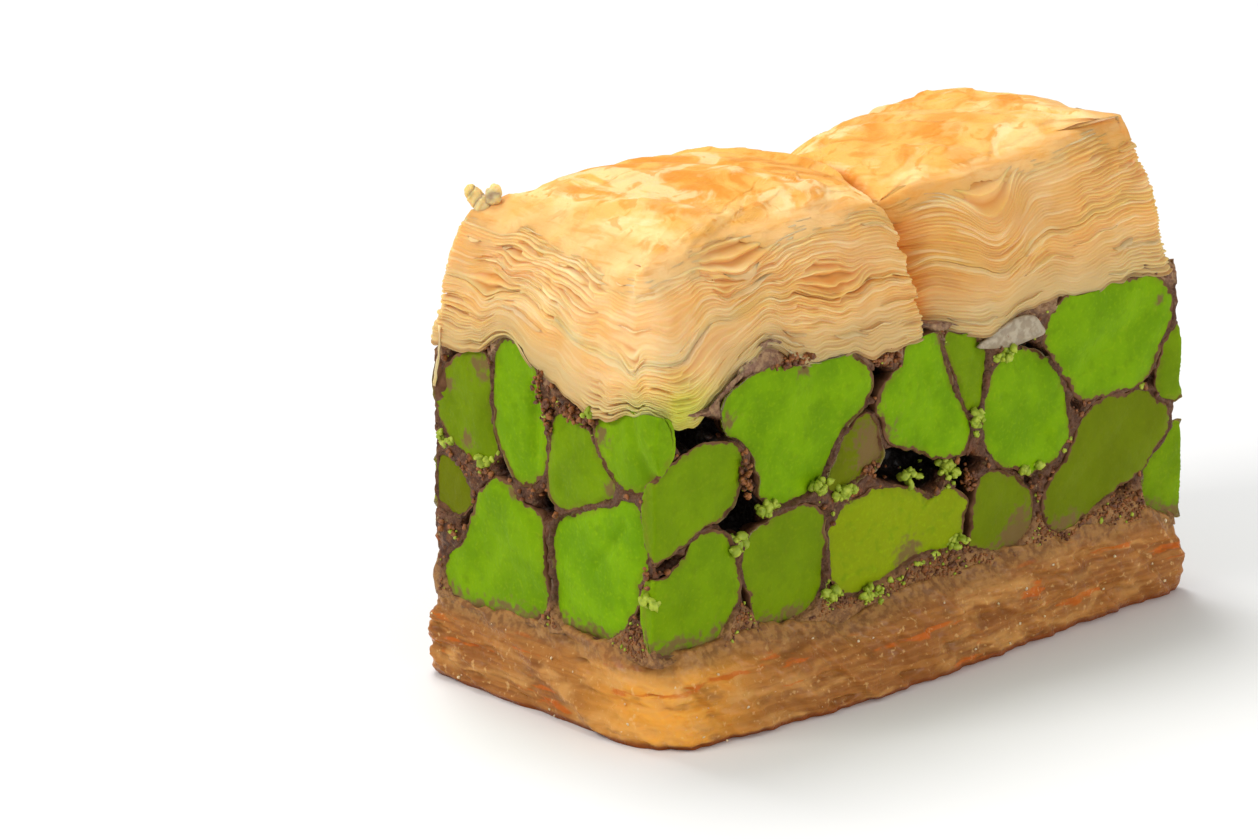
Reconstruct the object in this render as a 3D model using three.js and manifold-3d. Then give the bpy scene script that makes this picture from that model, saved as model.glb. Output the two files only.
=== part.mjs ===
// A piece of pistachio baklava: a bar with two puffed lobes on top, made of three layers.
//   bottom_pastry      soaked and pressed filo, sagging outwards a little at its foot
//   pistachio_filling  whole kernels cut through by the knife, in a core of skins and crumbs
//   top_pastry         flaky filo, scored across the middle before baking
// Millimetres. X runs along the bar, Y across it and Z up, from the middle of the resting face.
import * as THREE from "three";
import { mergeVertices } from "three/addons/utils/BufferGeometryUtils.js";
import Module from "manifold-3d";

const wasm = await Module();
wasm.setup();

// Driving sizes of the bar, as the knife cut it
const LENGTH = 61;
const DEPTH = 28;
const BASE_TOP = 8.4; // mean height of the bottom pastry
const FILLING_TOP = 29.3; // mean height at which the top pastry lies on the kernels
const EDGE_TOP = 40.7; // height of the top pastry's upper edge
const CROWN = { left: 3.0, right: 2.4 }; // how far each lobe puffs up above that edge
const GAP = 0.3; // clearance between two layers

const HALF_LENGTH = LENGTH / 2;
const HALF_DEPTH = DEPTH / 2;

// ---------------------------------------------------------------- small maths

const mix = (a, b, t) => a + (b - a) * t;
const bump = (distance, width) => Math.exp(-((distance / width) ** 2));

// Smooth wandering value from -1 to 1, from three sine waves out of step.
function wander(t, wavelength, phase) {
  const turn = (2 * Math.PI) / wavelength;
  return (
    0.5 * Math.sin(turn * t + phase) +
    0.3 * Math.sin(turn * 2.3 * t + 2.1 * phase) +
    0.2 * Math.sin(turn * 4.1 * t + 3.7 * phase)
  );
}

// Repeatable random numbers from 0 to 1.
function randomFrom(seed) {
  let state = seed;
  return () => {
    state = (state * 1664525 + 1013904223) % 4294967296;
    return state / 4294967296;
  };
}

// ---------------------------------------------------------------- where the layers meet

// Places along a face where a kernel lifts a layer, or where the knife pressed it down.
const TOP_SWELLS = {
  front: [
    { at: -25.5, rise: -1.8, width: 4 },
    { at: -17.3, rise: 2.6, width: 3.2 },
    { at: 7.5, rise: -1.1, width: 4 },
  ],
  left: [
    { at: 4.4, rise: 2.2, width: 2.6 },
    { at: -6, rise: -1.6, width: 3.4 },
  ],
};
const BASE_SWELLS = {
  front: [
    { at: -8, rise: -1.4, width: 5 },
    { at: 20, rise: 0.6, width: 8 },
    { at: 31, rise: -2.0, width: 3 },
  ],
  left: [{ at: 8, rise: -1.0, width: 4 }],
};
const SWELL_REACH = 8; // how far a swell runs in from its face

function swelling(swells, x, y) {
  const fromFront = bump(y + HALF_DEPTH, SWELL_REACH);
  const fromLeft = bump(x + HALF_LENGTH, SWELL_REACH);
  const sum = (list, place) =>
    list.reduce((z, swell) => z + swell.rise * bump(place - swell.at, swell.width), 0);
  return sum(swells.front, x) * fromFront + sum(swells.left, y) * fromLeft;
}

// Height at which the top pastry lies on the filling.
function fillingTop(x, y) {
  const uneven = 0.5 * wander(x, 23, 1) * wander(y, 19, 4) + 0.35 * wander(x + y, 11, 2);
  return FILLING_TOP + uneven + swelling(TOP_SWELLS, x, y);
}

// Height at which the filling lies on the bottom pastry.
function baseTop(x, y) {
  const uneven = 0.4 * wander(x, 17, 3) + 0.3 * wander(y, 13, 5);
  return BASE_TOP + uneven + swelling(BASE_SWELLS, x, y);
}

// ---------------------------------------------------------------- formed boxes

// A closed box of cells whose corners are moved by form(corner), each axis from -1 to 1.
function formedBox(columns, files, rows, form) {
  const box = new THREE.BoxGeometry(2, 2, 2, columns, files, rows);
  box.deleteAttribute("normal");
  box.deleteAttribute("uv");
  const geometry = mergeVertices(box, 1e-4);
  const position = geometry.getAttribute("position");
  const corner = new THREE.Vector3();
  for (let i = 0; i < position.count; i++) {
    form(corner.fromBufferAttribute(position, i));
    position.setXYZ(i, corner.x, corner.y, corner.z);
  }
  return geometry;
}

// Outward direction of the side that a corner of the box lies on: 0 for both inside it.
function sideOf(corner) {
  const onSide = (value) => (Math.abs(value) > 0.999 ? Math.sign(value) : 0);
  return { x: onSide(corner.x), y: onSide(corner.y) };
}

// Distance round the rim, so that relief runs on past the bar's vertical corners.
const roundRim = (x, y) => 1.35 * x - 0.65 * y;

function solidFrom(geometry) {
  return new wasm.Manifold(
    new wasm.Mesh({
      numProp: 3,
      vertProperties: new Float32Array(geometry.getAttribute("position").array),
      triVerts: new Uint32Array(geometry.index.array),
    }),
  );
}

function geometryFrom(solid) {
  const mesh = solid.getMesh();
  const geometry = new THREE.BufferGeometry();
  geometry.setAttribute("position", new THREE.BufferAttribute(mesh.vertProperties, 3));
  geometry.setIndex(new THREE.BufferAttribute(mesh.triVerts, 1));
  return geometry;
}

// Everything under a surface, out to a margin round the bar. Two layers that meet are both cut
// by the same surface on the same grid, so that they keep one clearance all over.
const UNDER_CELLS = { columns: 22, files: 10 };
const MARGIN = 5;
function under(surface, clearance) {
  return solidFrom(
    formedBox(UNDER_CELLS.columns, UNDER_CELLS.files, 1, (corner) => {
      const x = corner.x * (HALF_LENGTH + MARGIN);
      const y = corner.y * (HALF_DEPTH + MARGIN);
      corner.set(x, y, corner.z < 0 ? -MARGIN : surface(x, y) + clearance);
    }),
  );
}

// ---------------------------------------------------------------- bottom pastry

const BASE_CELLS = { columns: 26, files: 12, rows: 5 };
const BASE_RELIEF = 0.4; // how deep the crumbled side of the base is
const FOOT_SAG = { front: 2.6, left: 0.3, right: 0, back: 0.6 }; // how far its foot spreads
const FRONT_SAG_AT = -8; // where along the front it spreads most
const FRONT_SAG_WIDTH = 24;
const FOOT_ROUND = 0.7; // how far the resting face stands in from the widest line
// Radius of each vertical corner: the soft one at the front left has lost its edge.
const BASE_CORNERS = { frontLeft: 4.6, frontRight: 1.2, backLeft: 1.6, backRight: 2.4 };

// A point of the bar's plan, pulled in round the corner it is near.
function roundedPlan(x, y) {
  const end = x < 0 ? "Left" : "Right";
  const radius = BASE_CORNERS[(y < 0 ? "front" : "back") + end];
  const overX = Math.max(0, Math.abs(x) - (HALF_LENGTH - radius));
  const overY = Math.max(0, Math.abs(y) - (HALF_DEPTH - radius));
  const pull = Math.max(1, Math.hypot(overX, overY) / radius);
  return {
    x: x - Math.sign(x) * overX * (1 - 1 / pull),
    y: y - Math.sign(y) * overY * (1 - 1 / pull),
  };
}

function bottomPastry() {
  const ceiling = BASE_TOP + 3;
  const form = formedBox(BASE_CELLS.columns, BASE_CELLS.files, BASE_CELLS.rows, (corner) => {
    const side = sideOf(corner);
    const level = (corner.z + 1) / 2;
    const rim = roundedPlan(corner.x * HALF_LENGTH, corner.y * HALF_DEPTH);
    const low = 1 - level ** 2;
    const frontSag = FOOT_SAG.front * bump(rim.x - FRONT_SAG_AT, FRONT_SAG_WIDTH);
    const sagX = low * (rim.x > 0 ? FOOT_SAG.right : FOOT_SAG.left);
    const sagY = low * (rim.y > 0 ? FOOT_SAG.back : frontSag);
    const crumbled = BASE_RELIEF * wander(roundRim(rim.x, rim.y) + 9 * level, 9, 1 + level);
    const outwards = side.x || side.y ? crumbled - (level === 0 ? FOOT_ROUND : 0) : 0;
    corner.x = rim.x * (1 + (sagX + outwards) / HALF_LENGTH);
    corner.y = rim.y * (1 + (sagY + outwards) / HALF_DEPTH);
    corner.z = level * ceiling;
  });
  return geometryFrom(solidFrom(form).intersect(under(baseTop, -GAP / 2)));
}

// ---------------------------------------------------------------- top pastry

const TOP_CELLS = { columns: 28, files: 12, rows: 14 };
const SCORE_CROWDING = 1.25; // above 1, the columns crowd towards the score
const LEAF_RELIEF = 0.42; // how far every second row of leaves stands back
const LEAF_LEAN = 1.5; // above 1, the sides lean in mostly near their top
const SCORE_CUT = 1.9; // depth of the score where it opens in the long sides
const SCORE_SLANT = 3.4; // how far the score runs to the right from front to back
const CORNER_PULL = 0.7; // extra pull of the vertical corners
// How far the upper edge stands in from the cut faces, as the leaves shrink and puff in baking.
const TOP_INSET = { left: 0.5, right: 3.6, front: 2.6, back: 3.2 };

// Shape of a lobe: the exponents of its fall towards the score, the bar's end and the long sides.
const LOBE_FALL = { score: 2.2, end: 3, sides: 2.6 };
const VALLEY_SINK = { front: 1.6, back: 4.8 }; // how far the valley's ends drop below the edge
const VALLEY_WIDTH = { front: 0.07, back: 0.26 }; // half of it, as a share of half the length
const CORNER_DROOP = 1.2; // how far the front left corner hangs
const WRINKLE = 0.35; // height of the folds in the uppermost leaf

// Height of the puffed top: a pillow over each lobe, with the scored valley between them.
// along runs from -1 at the left end to 1 at the right end, across from -1 to 1 front to back.
function lobeTop(along, across) {
  const inLobe = 2 * Math.abs(along) - 1; // -1 at the score, 1 at the end of the bar
  const fall = 1 - Math.abs(inLobe) ** (inLobe < 0 ? LOBE_FALL.score : LOBE_FALL.end);
  const pillow = fall * (1 - Math.abs(across) ** LOBE_FALL.sides);
  const crown = along < 0 ? CROWN.left : CROWN.right;
  const back = (across + 1) / 2;
  const sink = mix(VALLEY_SINK.front, VALLEY_SINK.back, back) * across ** 2;
  const valley = sink * bump(along, mix(VALLEY_WIDTH.front, VALLEY_WIDTH.back, back));
  const droop = CORNER_DROOP * bump(along + 1, 0.3) * bump(across + 1, 0.5);
  const wrinkle = WRINKLE * wander(along + 0.3 * across, 0.46, 2) * (1 - across ** 4);
  return EDGE_TOP + crown * pillow - valley - droop + wrinkle;
}

// How far the long front side stands in, besides its lean: a dent in the left lobe, and the
// right lobe, which steps back beside the score.
const DENT = { at: -20.5, depth: 1.1, width: 4.5 };
const STEP = { at: 2.5, depth: 1.0, width: 4 };
function frontHollow(x) {
  const dent = DENT.depth * bump(x - DENT.at, DENT.width);
  const step = x > 0 ? STEP.depth * bump(x - STEP.at, STEP.width) : 0;
  return dent + step;
}

function topPastry() {
  const foot = FILLING_TOP - 5;
  const form = formedBox(TOP_CELLS.columns, TOP_CELLS.files, TOP_CELLS.rows, (corner) => {
    const side = sideOf(corner);
    const level = (corner.z + 1) / 2;
    const row = Math.round(level * TOP_CELLS.rows);
    const along = Math.sign(corner.x) * Math.abs(corner.x) ** SCORE_CROWDING;
    const across = corner.y;
    const x = along * HALF_LENGTH;
    const y = across * HALF_DEPTH;

    // The rows start on the filling and end in the puffed top. The lowest hides in the cut.
    const leafZ = mix(fillingTop(x, y), lobeTop(along, across), (row - 1) / (TOP_CELLS.rows - 1));
    corner.z = row ? leafZ : foot;

    let inset = 0;
    if (side.x || side.y) {
      const leaf = row % 2 ? 1 : 0.2;
      inset = LEAF_RELIEF * leaf * (1 + 0.7 * wander(roundRim(x, y) + 3 * row, 12, row));
      inset += side.x && side.y ? CORNER_PULL : 0;
      if (side.y && along === 0) inset += SCORE_CUT;
      if (side.y < 0) inset += frontHollow(x);
    }
    const lean = level ** LEAF_LEAN;
    const left = -HALF_LENGTH + lean * TOP_INSET.left;
    const right = HALF_LENGTH - lean * TOP_INSET.right;
    const front = -HALF_DEPTH + lean * TOP_INSET.front;
    const back = HALF_DEPTH - lean * TOP_INSET.back;
    const slant = SCORE_SLANT * ((across + 1) / 2) * (1 - along ** 2);
    corner.x = mix(left, right, (along + 1) / 2) + slant - side.x * inset;
    corner.y = mix(front, back, (across + 1) / 2) - side.y * inset;
  });
  return geometryFrom(solidFrom(form).subtract(under(fillingTop, GAP / 2)));
}

// ---------------------------------------------------------------- pistachio filling

const CORE_CELLS = { columns: 16, files: 8, rows: 2 };
const CORE_RECESS = 1.5; // how far the crumbs between the kernels stand back from the cut
const FACE_SETBACK = 0.2; // how far the cut kernels stand back from the knife's planes
const KERNEL_THROUGH = 9; // a kernel's size at right angles to the cut
const KERNEL_CUT_AT = 1.2; // depth of a kernel's middle below the cut
const KERNEL_DETAIL = 2;

// Kernels that the knife opened on the long front and on the left end: place of the middle along
// the face and up, width, height, turn in degrees, and taper, above 0 for one wider at its top.
const FRONT_KERNELS = [
  { along: -25.8, up: 20.6, width: 10.6, height: 8.6, turn: 16, taper: 0.1 },
  { along: -25.9, up: 13.0, width: 10.2, height: 9.8, turn: 20, taper: 0.1 },
  { along: -14.2, up: 24.0, width: 14.8, height: 12.6, turn: -4, taper: 0.35 },
  { along: -15.6, up: 12.9, width: 9.4, height: 9.6, turn: 10, taper: -0.1 },
  { along: -4.9, up: 11.7, width: 13.2, height: 9.6, turn: 8, taper: -0.1 },
  { along: -7.6, up: 19.6, width: 8.0, height: 3.6, turn: 58, taper: 0 },
  { along: 0.6, up: 23.6, width: 11.6, height: 10.6, turn: 4, taper: -0.2 },
  { along: 12.0, up: 20.2, width: 9.6, height: 11.4, turn: 6, taper: 0 },
  { along: 9.2, up: 11.6, width: 7.2, height: 6.6, turn: 8, taper: 0 },
  { along: 21.6, up: 24.6, width: 13.8, height: 9.6, turn: -6, taper: 0.15 },
  { along: 21.6, up: 13.8, width: 16.4, height: 8.2, turn: 30, taper: 0 },
  { along: 29.2, up: 11.9, width: 5.4, height: 10.4, turn: 6, taper: 0 },
  { along: 29.6, up: 21.0, width: 3.4, height: 8.6, turn: 4, taper: 0 },
];
const LEFT_KERNELS = [
  { along: -9.2, up: 23.6, width: 7.8, height: 9.8, turn: 0, taper: 0.1 },
  { along: -2.8, up: 24.8, width: 6.0, height: 12.0, turn: 14, taper: 0.05 },
  { along: 4.9, up: 22.8, width: 7.2, height: 7.8, turn: 0, taper: -0.3 },
  { along: 11.0, up: 24.6, width: 7.6, height: 7.4, turn: -10, taper: 0.1 },
  { along: -6.2, up: 12.6, width: 11.8, height: 11.2, turn: -8, taper: -0.1 },
  { along: 6.8, up: 14.2, width: 9.8, height: 11.0, turn: 10, taper: 0 },
];

// Kernels of the other two faces, side by side in an upper and a lower row.
const ROW_HEIGHTS = [13.2, 23.6];
const KERNEL_SPACING = 11.2;
const WIDTH_SPREAD = 0.28; // how much wider or narrower than the mean a kernel may be
const ROW_END = 1.2; // how far a row stays from the ends of its face
const SQUEEZE = 0.6; // how far neighbours press into each other
function kernelRows(span, random) {
  const spread = () => 2 * random() - 1;
  const count = Math.round(span / KERNEL_SPACING);
  const rows = ROW_HEIGHTS.map((up) => {
    const shares = Array.from({ length: count }, () => 1 + WIDTH_SPREAD * spread());
    const whole = shares.reduce((sum, share) => sum + share, 0);
    let start = ROW_END - span / 2;
    return shares.map((share) => {
      const width = ((span - 2 * ROW_END) * share) / whole;
      start += width;
      return {
        along: start - width / 2,
        up: up + spread(),
        width: width + SQUEEZE,
        height: 10.4 + spread(),
        turn: 25 * spread(),
        taper: 0.25 * spread(),
      };
    });
  });
  return rows.flat();
}

const random = randomFrom(7);
// Each face: its kernels, the turn of its outward direction, and how far it is from the middle.
const FACES = [
  { kernels: FRONT_KERNELS, heading: 0, reach: HALF_DEPTH },
  { kernels: LEFT_KERNELS, heading: -90, reach: HALF_LENGTH },
  { kernels: kernelRows(LENGTH, random), heading: 180, reach: HALF_DEPTH },
  { kernels: kernelRows(DEPTH, random), heading: 90, reach: HALF_LENGTH },
];

// One kernel as a solid: an egg-shaped ball, tapered and turned in the plane of its face.
function kernelSolid(kernel, face) {
  const ball = new THREE.IcosahedronGeometry(1, KERNEL_DETAIL);
  ball.deleteAttribute("normal");
  ball.deleteAttribute("uv");
  const geometry = mergeVertices(ball, 1e-4);
  const position = geometry.getAttribute("position");
  for (let i = 0; i < position.count; i++) {
    const swell = 1 + kernel.taper * position.getZ(i);
    position.setX(i, position.getX(i) * swell);
  }
  geometry.scale(kernel.width / 2, KERNEL_THROUGH / 2, kernel.height / 2);
  geometry.rotateY(-THREE.MathUtils.degToRad(kernel.turn));
  geometry.translate(kernel.along, KERNEL_CUT_AT - face.reach, kernel.up);
  geometry.rotateZ(THREE.MathUtils.degToRad(face.heading));
  return solidFrom(geometry);
}

// The core of crumbs that holds the kernels, standing back unevenly from the cut.
function core() {
  return solidFrom(
    formedBox(CORE_CELLS.columns, CORE_CELLS.files, CORE_CELLS.rows, (corner) => {
      const side = sideOf(corner);
      const level = (corner.z + 1) / 2;
      const x = corner.x * HALF_LENGTH;
      const y = corner.y * HALF_DEPTH;
      const inset = CORE_RECESS * (1 + 0.4 * wander(roundRim(x, y) + 11 * level, 8, 2 + level));
      corner.x = x - side.x * inset;
      corner.y = y - side.y * inset;
      corner.z = mix(BASE_TOP - 2, FILLING_TOP + 4, level);
    }),
  );
}

// The outer shell alone, so that hollows sealed between kernels are filled and scraps dropped.
function outerShell(solid) {
  const shells = solid.decompose();
  return shells.reduce((largest, shell) => (shell.volume() > largest.volume() ? shell : largest));
}

function pistachioFilling() {
  const balls = FACES.flatMap((face) => face.kernels.map((kernel) => kernelSolid(kernel, face)));
  const heap = balls.reduce((joined, ball) => joined.add(ball), core());
  const knife = solidFrom(
    formedBox(1, 1, 1, (corner) => {
      corner.x *= HALF_LENGTH - FACE_SETBACK;
      corner.y *= HALF_DEPTH - FACE_SETBACK;
      corner.z *= 2 * EDGE_TOP;
    }),
  );
  const cut = heap.intersect(knife).intersect(under(fillingTop, -GAP / 2));
  return geometryFrom(outerShell(cut.subtract(under(baseTop, GAP / 2))));
}

// ---------------------------------------------------------------- the bar

function layer(name, geometry, color, roughness) {
  const mesh = new THREE.Mesh(
    geometry,
    new THREE.MeshStandardMaterial({ color, roughness, metalness: 0, flatShading: true }),
  );
  mesh.name = name;
  return mesh;
}

const baklava = new THREE.Group();
baklava.add(
  layer("bottom_pastry", bottomPastry(), "#b87a3e", 0.5),
  layer("pistachio_filling", pistachioFilling(), "#7fb31f", 0.6),
  layer("top_pastry", topPastry(), "#eac07a", 0.45),
);

const bounds = new THREE.Box3().setFromObject(baklava);
const middle = bounds.getCenter(new THREE.Vector3());
baklava.position.set(-middle.x, -middle.y, -bounds.min.z);

export default baklava;
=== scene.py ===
"""Looks of the piece of pistachio baklava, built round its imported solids.

Lengths are millimetres in the bar's own frame (x along, y across, z up, from the middle of the
knife's cut) until to_frame() turns them into the row's metres. The forms are those of the solids:
filo leaves, kernels and soaked pastry each stand where their solid is.
"""

import bmesh  # noqa: E402
import bpy  # noqa: E402
import numpy as np  # noqa: E402
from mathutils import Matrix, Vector  # noqa: E402


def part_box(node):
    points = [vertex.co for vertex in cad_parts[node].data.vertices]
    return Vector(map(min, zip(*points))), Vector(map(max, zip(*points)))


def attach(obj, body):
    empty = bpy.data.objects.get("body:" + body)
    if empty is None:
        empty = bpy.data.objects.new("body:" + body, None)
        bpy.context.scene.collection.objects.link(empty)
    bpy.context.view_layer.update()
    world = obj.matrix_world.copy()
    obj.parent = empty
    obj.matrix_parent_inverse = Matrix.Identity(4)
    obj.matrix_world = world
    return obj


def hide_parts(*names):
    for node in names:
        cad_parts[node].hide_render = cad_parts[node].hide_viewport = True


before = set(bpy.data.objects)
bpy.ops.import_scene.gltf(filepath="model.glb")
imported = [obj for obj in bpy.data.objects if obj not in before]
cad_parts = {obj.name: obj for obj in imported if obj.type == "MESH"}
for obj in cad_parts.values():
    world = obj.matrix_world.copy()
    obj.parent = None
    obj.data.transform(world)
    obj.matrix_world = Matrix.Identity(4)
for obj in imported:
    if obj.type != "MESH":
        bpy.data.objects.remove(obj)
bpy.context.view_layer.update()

MM = 0.001

# Driving sizes: the solids' own, but for the lobes' crowns, which are shaped more finely here
LENGTH = 61.0
DEPTH = 28.0
BASE_TOP = 8.4
FILLING_TOP = 29.3
EDGE_TOP = 40.7
CROWN_LEFT = 2.3
CROWN_RIGHT = 1.9
CORNER_LIFT = 1.7  # how far the right lobe rises to its front right corner
BACK_FALL = 0.8
SCORE_AT = 1.4  # where the score meets the front
HALF_LENGTH = LENGTH / 2
HALF_DEPTH = DEPTH / 2
CUT_SETBACK = 0.2  # how far the cut kernels stand back from the knife's planes

# The bar's faces: their outward directions, and how far each is from the bar's middle
FRONT, LEFT, BACK, RIGHT = range(4)
OUTWARD = ((0, -1), (-1, 0), (0, 1), (1, 0))
REACHES = (HALF_DEPTH, HALF_LENGTH, HALF_DEPTH, HALF_LENGTH)

FILLING_LOW, FILLING_HIGH = (np.array(corner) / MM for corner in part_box("pistachio_filling"))
CENTRE = (FILLING_LOW + FILLING_HIGH) / 2 * (1, 1, 0)


def to_frame(points):
    """Points of the bar's own frame, in the row's frame and in metres."""
    return (np.asarray(points) + CENTRE) * MM


def each(table):
    """The rows of a table that is sorted by face, each row after its face."""
    return [(face, *row) for face, rows in table.items() for row in rows]


# ---------------------------------------------------------------- small maths


def mix(a, b, share):
    return a + (b - a) * share


def bump(distance, width):
    return np.exp(-((distance / width) ** 2))


def smooth(value, low, high):
    """0 below low, 1 above high, with a soft step between."""
    share = np.clip((value - low) / (high - low), 0, 1)
    return share * share * (3 - 2 * share)


def wander(t, wavelength, phase):
    """A wavy line from -1 to 1."""
    turn = 2 * np.pi / wavelength * t
    waves = ((0.5, 1, 1), (0.3, 2.3, 2.1), (0.2, 4.1, 3.7))
    return sum(height * np.sin(pace * turn + shift * phase) for height, pace, shift in waves)


WORD = 0xFFFFFFFF
CELL_PRIMES = (374761393, 668265263, 974711111)
# A turn in space, so that no noise lines up with the bar's sides
TWIST = np.array([[0.36, 0.48, -0.8], [-0.8, 0.6, 0.0], [0.48, 0.64, 0.6]])


def noise(x, y, z, size, seed=0):
    """A smooth random value from -1 to 1 in space, uneven at the given size."""
    place = np.stack(np.broadcast_arrays(x, y, z), -1).astype(float) @ TWIST / size + 37.31 * seed + 500.5
    cell = np.floor(place).astype(np.int64)
    part = place - cell
    ease = part**3 * (part * (part * 6 - 15) + 10)
    total = 0
    for corner in np.ndindex(2, 2, 2):
        key = 0
        weight = 1
        for axis in range(3):
            key = key ^ ((cell[..., axis] + corner[axis]) * CELL_PRIMES[axis] & WORD)
            weight = weight * (ease[..., axis] if corner[axis] else 1 - ease[..., axis])
        key = (key ^ (key >> 15)) * 0x2C1B3C6D & WORD
        key = (key ^ (key >> 12)) * 0x297A2D39 & WORD
        total = total + weight * ((key ^ (key >> 15)) / 2**31 - 1)
    return total


def rough(x, y, z, size, seed=0, octaves=3):
    """Noise with finer noise on it, each octave half as large."""
    return sum(noise(x, y, z, size / 2**i, seed + i) / 2**i for i in range(octaves)) / 1.6


# ---------------------------------------------------------------- where the layers meet

# Swells of a layer's edge on the front and on the left face: place along the face, rise, width
TOP_SWELLS_FRONT = ((-25.5, -1.8, 4), (-17.3, 2.6, 3.2), (7.5, -1.1, 4))
TOP_SWELLS_LEFT = ((4.4, 2.2, 2.6), (-6, -1.6, 3.4))
BASE_SWELLS_FRONT = ((-8, -1.4, 5), (20, 0.6, 8), (31, -2.0, 3))
BASE_SWELLS_LEFT = ((8, -1.0, 4),)
SWELL_REACH = 8


def swelling(front, left, x, y):
    """How far a layer's edge swells up at a spot, because of the swells on the front and the left."""
    from_front = sum(rise * bump(x - at, width) for at, rise, width in front)
    from_left = sum(rise * bump(y - at, width) for at, rise, width in left)
    return from_front * bump(y + HALF_DEPTH, SWELL_REACH) + from_left * bump(x + HALF_LENGTH, SWELL_REACH)


def filling_top(x, y):
    """Height where the filling ends and the top pastry starts."""
    uneven = 0.5 * wander(x, 23, 1) * wander(y, 19, 4) + 0.35 * wander(x + y, 11, 2)
    return FILLING_TOP + uneven + swelling(TOP_SWELLS_FRONT, TOP_SWELLS_LEFT, x, y)


def base_top(x, y):
    """Height where the bottom pastry ends and the filling starts."""
    uneven = 0.4 * wander(x, 17, 3) + 0.3 * wander(y, 13, 5)
    return BASE_TOP + uneven + swelling(BASE_SWELLS_FRONT, BASE_SWELLS_LEFT, x, y)


def from_score(x, y):
    """How far along the bar a spot is from the score, which runs a little askew."""
    return x - SCORE_AT * (HALF_DEPTH - y) / DEPTH


def lobe_top(along, across):
    """Height of the puffed top: a pillow over each lobe, with the scored valley between them."""
    along = from_score(along * HALF_LENGTH, across * HALF_DEPTH) / HALF_LENGTH
    in_lobe = 2 * np.abs(along) - 1
    # The pillow falls softly to the score, and more steeply to the left end and to the right end
    fall = 1 - np.abs(in_lobe) ** np.where(in_lobe < 0, 2.4, np.where(along < 0, 6, 4))
    pillow = fall * (1 - np.abs(across) ** 3.2)
    crown = np.where(along < 0, CROWN_LEFT, CROWN_RIGHT)
    back = (across + 1) / 2
    valley = mix(1.6, 4.8, back) * across**2 * bump(along, mix(0.07, 0.26, back))
    droop = 0.6 * bump(along + 1, 0.3) * bump(across + 1, 0.5)
    lift = CORNER_LIFT * smooth(along, 0.2, 1) * (1 - across) / 2
    lift = lift - BACK_FALL * smooth(along, 0, 0.3) * back
    wrinkle = 0.35 * wander(along + 0.3 * across, 0.46, 2) * (1 - across**4)
    return EDGE_TOP + crown * pillow - valley - droop + lift + wrinkle


# ---------------------------------------------------------------- meshes


class Skin:
    """Points and triangles gathered into one piece, with named values at each point."""

    def __init__(self):
        self.points = []
        self.triangles = []
        self.values = {}
        self.count = 0

    def add(self, points, triangles, **values):
        self.points.append(points.reshape(-1, 3))
        self.triangles.append(triangles + self.count)
        size = len(self.points[-1])
        self.count += size
        for name, value in values.items():
            self.values.setdefault(name, []).append(np.broadcast_to(value, size))
        return self

    def build(self, name, material, slot, replaces=None):
        """Puts the piece into the scene, on the bar's only body."""
        points = to_frame(np.concatenate(self.points)).astype(np.float32)
        triangles = np.concatenate(self.triangles).astype(np.int32)
        mesh = bpy.data.meshes.new(name)
        mesh.vertices.add(len(points))
        mesh.vertices.foreach_set("co", points.ravel())
        mesh.loops.add(triangles.size)
        mesh.loops.foreach_set("vertex_index", triangles.ravel())
        mesh.polygons.add(len(triangles))
        mesh.polygons.foreach_set("loop_start", np.arange(len(triangles), dtype=np.int32) * 3)
        mesh.update(calc_edges=True)
        mesh.validate()
        mesh.shade_smooth()
        for title, parts in self.values.items():
            layer = mesh.attributes.new(title, "FLOAT", "POINT")
            layer.data.foreach_set("value", np.concatenate(parts).astype(np.float32))
        mesh.materials.append(material)
        piece = bpy.data.objects.new(name, mesh)
        bpy.context.scene.collection.objects.link(piece)
        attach(piece, "root")
        if replaces:
            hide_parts(replaces)


def strip_triangles(rows, columns, closed):
    """Two triangles for each cell of a grid of points, the last column joined to the first if closed."""
    row, column = np.mgrid[0 : rows - 1, 0 : columns - (0 if closed else 1)]
    a = row * columns + column
    b = row * columns + (column + 1) % columns
    c, d = a + columns, b + columns
    return np.stack([a, b, d, a, d, c], -1).reshape(-1, 3)


def ringed(rings, first, last):
    """A closed skin of rings that run counterclockwise seen from outside, shut by a point at each end."""
    rows, columns = rings.shape[:2]
    ring = np.arange(columns)
    follow = (ring + 1) % columns
    start, end = rows * columns, rows * columns + 1
    top = (rows - 1) * columns
    triangles = [
        strip_triangles(rows, columns, True),
        np.stack([np.full(columns, start), follow, ring], -1),
        np.stack([top + ring, top + follow, np.full(columns, end)], -1),
    ]
    return np.concatenate([rings.reshape(-1, 3), [first, last]]), np.concatenate(triangles)


def plate(upper, lower):
    """A closed thin skin between two grids of points of one size."""
    rows, columns = upper.shape[:2]
    index = np.arange(rows * columns).reshape(rows, columns)
    edge = np.concatenate([index[0, :-1], index[:-1, -1], index[-1, :0:-1], index[:0:-1, 0]])
    follow = np.roll(edge, -1)
    under = rows * columns
    face = strip_triangles(rows, columns, False)
    triangles = [
        face,
        face[:, ::-1] + under,
        np.stack([edge, edge + under, follow], -1),
        np.stack([follow, edge + under, follow + under], -1),
    ]
    return np.concatenate([upper.reshape(-1, 3), lower.reshape(-1, 3)]), np.concatenate(triangles)


class Rings:
    """Rings of points one after another, each with its named values, to be shut to a skin."""

    def __init__(self, *names):
        self.names = names
        self.rings = []
        self.values = []

    def add(self, ring, *values):
        self.rings.append(ring)
        self.values.append([np.broadcast_to(value, len(ring)) for value in values])

    def shut(self, first, last, *ends):
        """Points, triangles and values; ends are each value's own at the first and the last point."""
        points, triangles = ringed(np.array(self.rings), first, last)
        rows = zip(self.names, zip(*self.values), ends)
        return points, triangles, {name: np.append(kept, end) for name, kept, end in rows}


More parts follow.
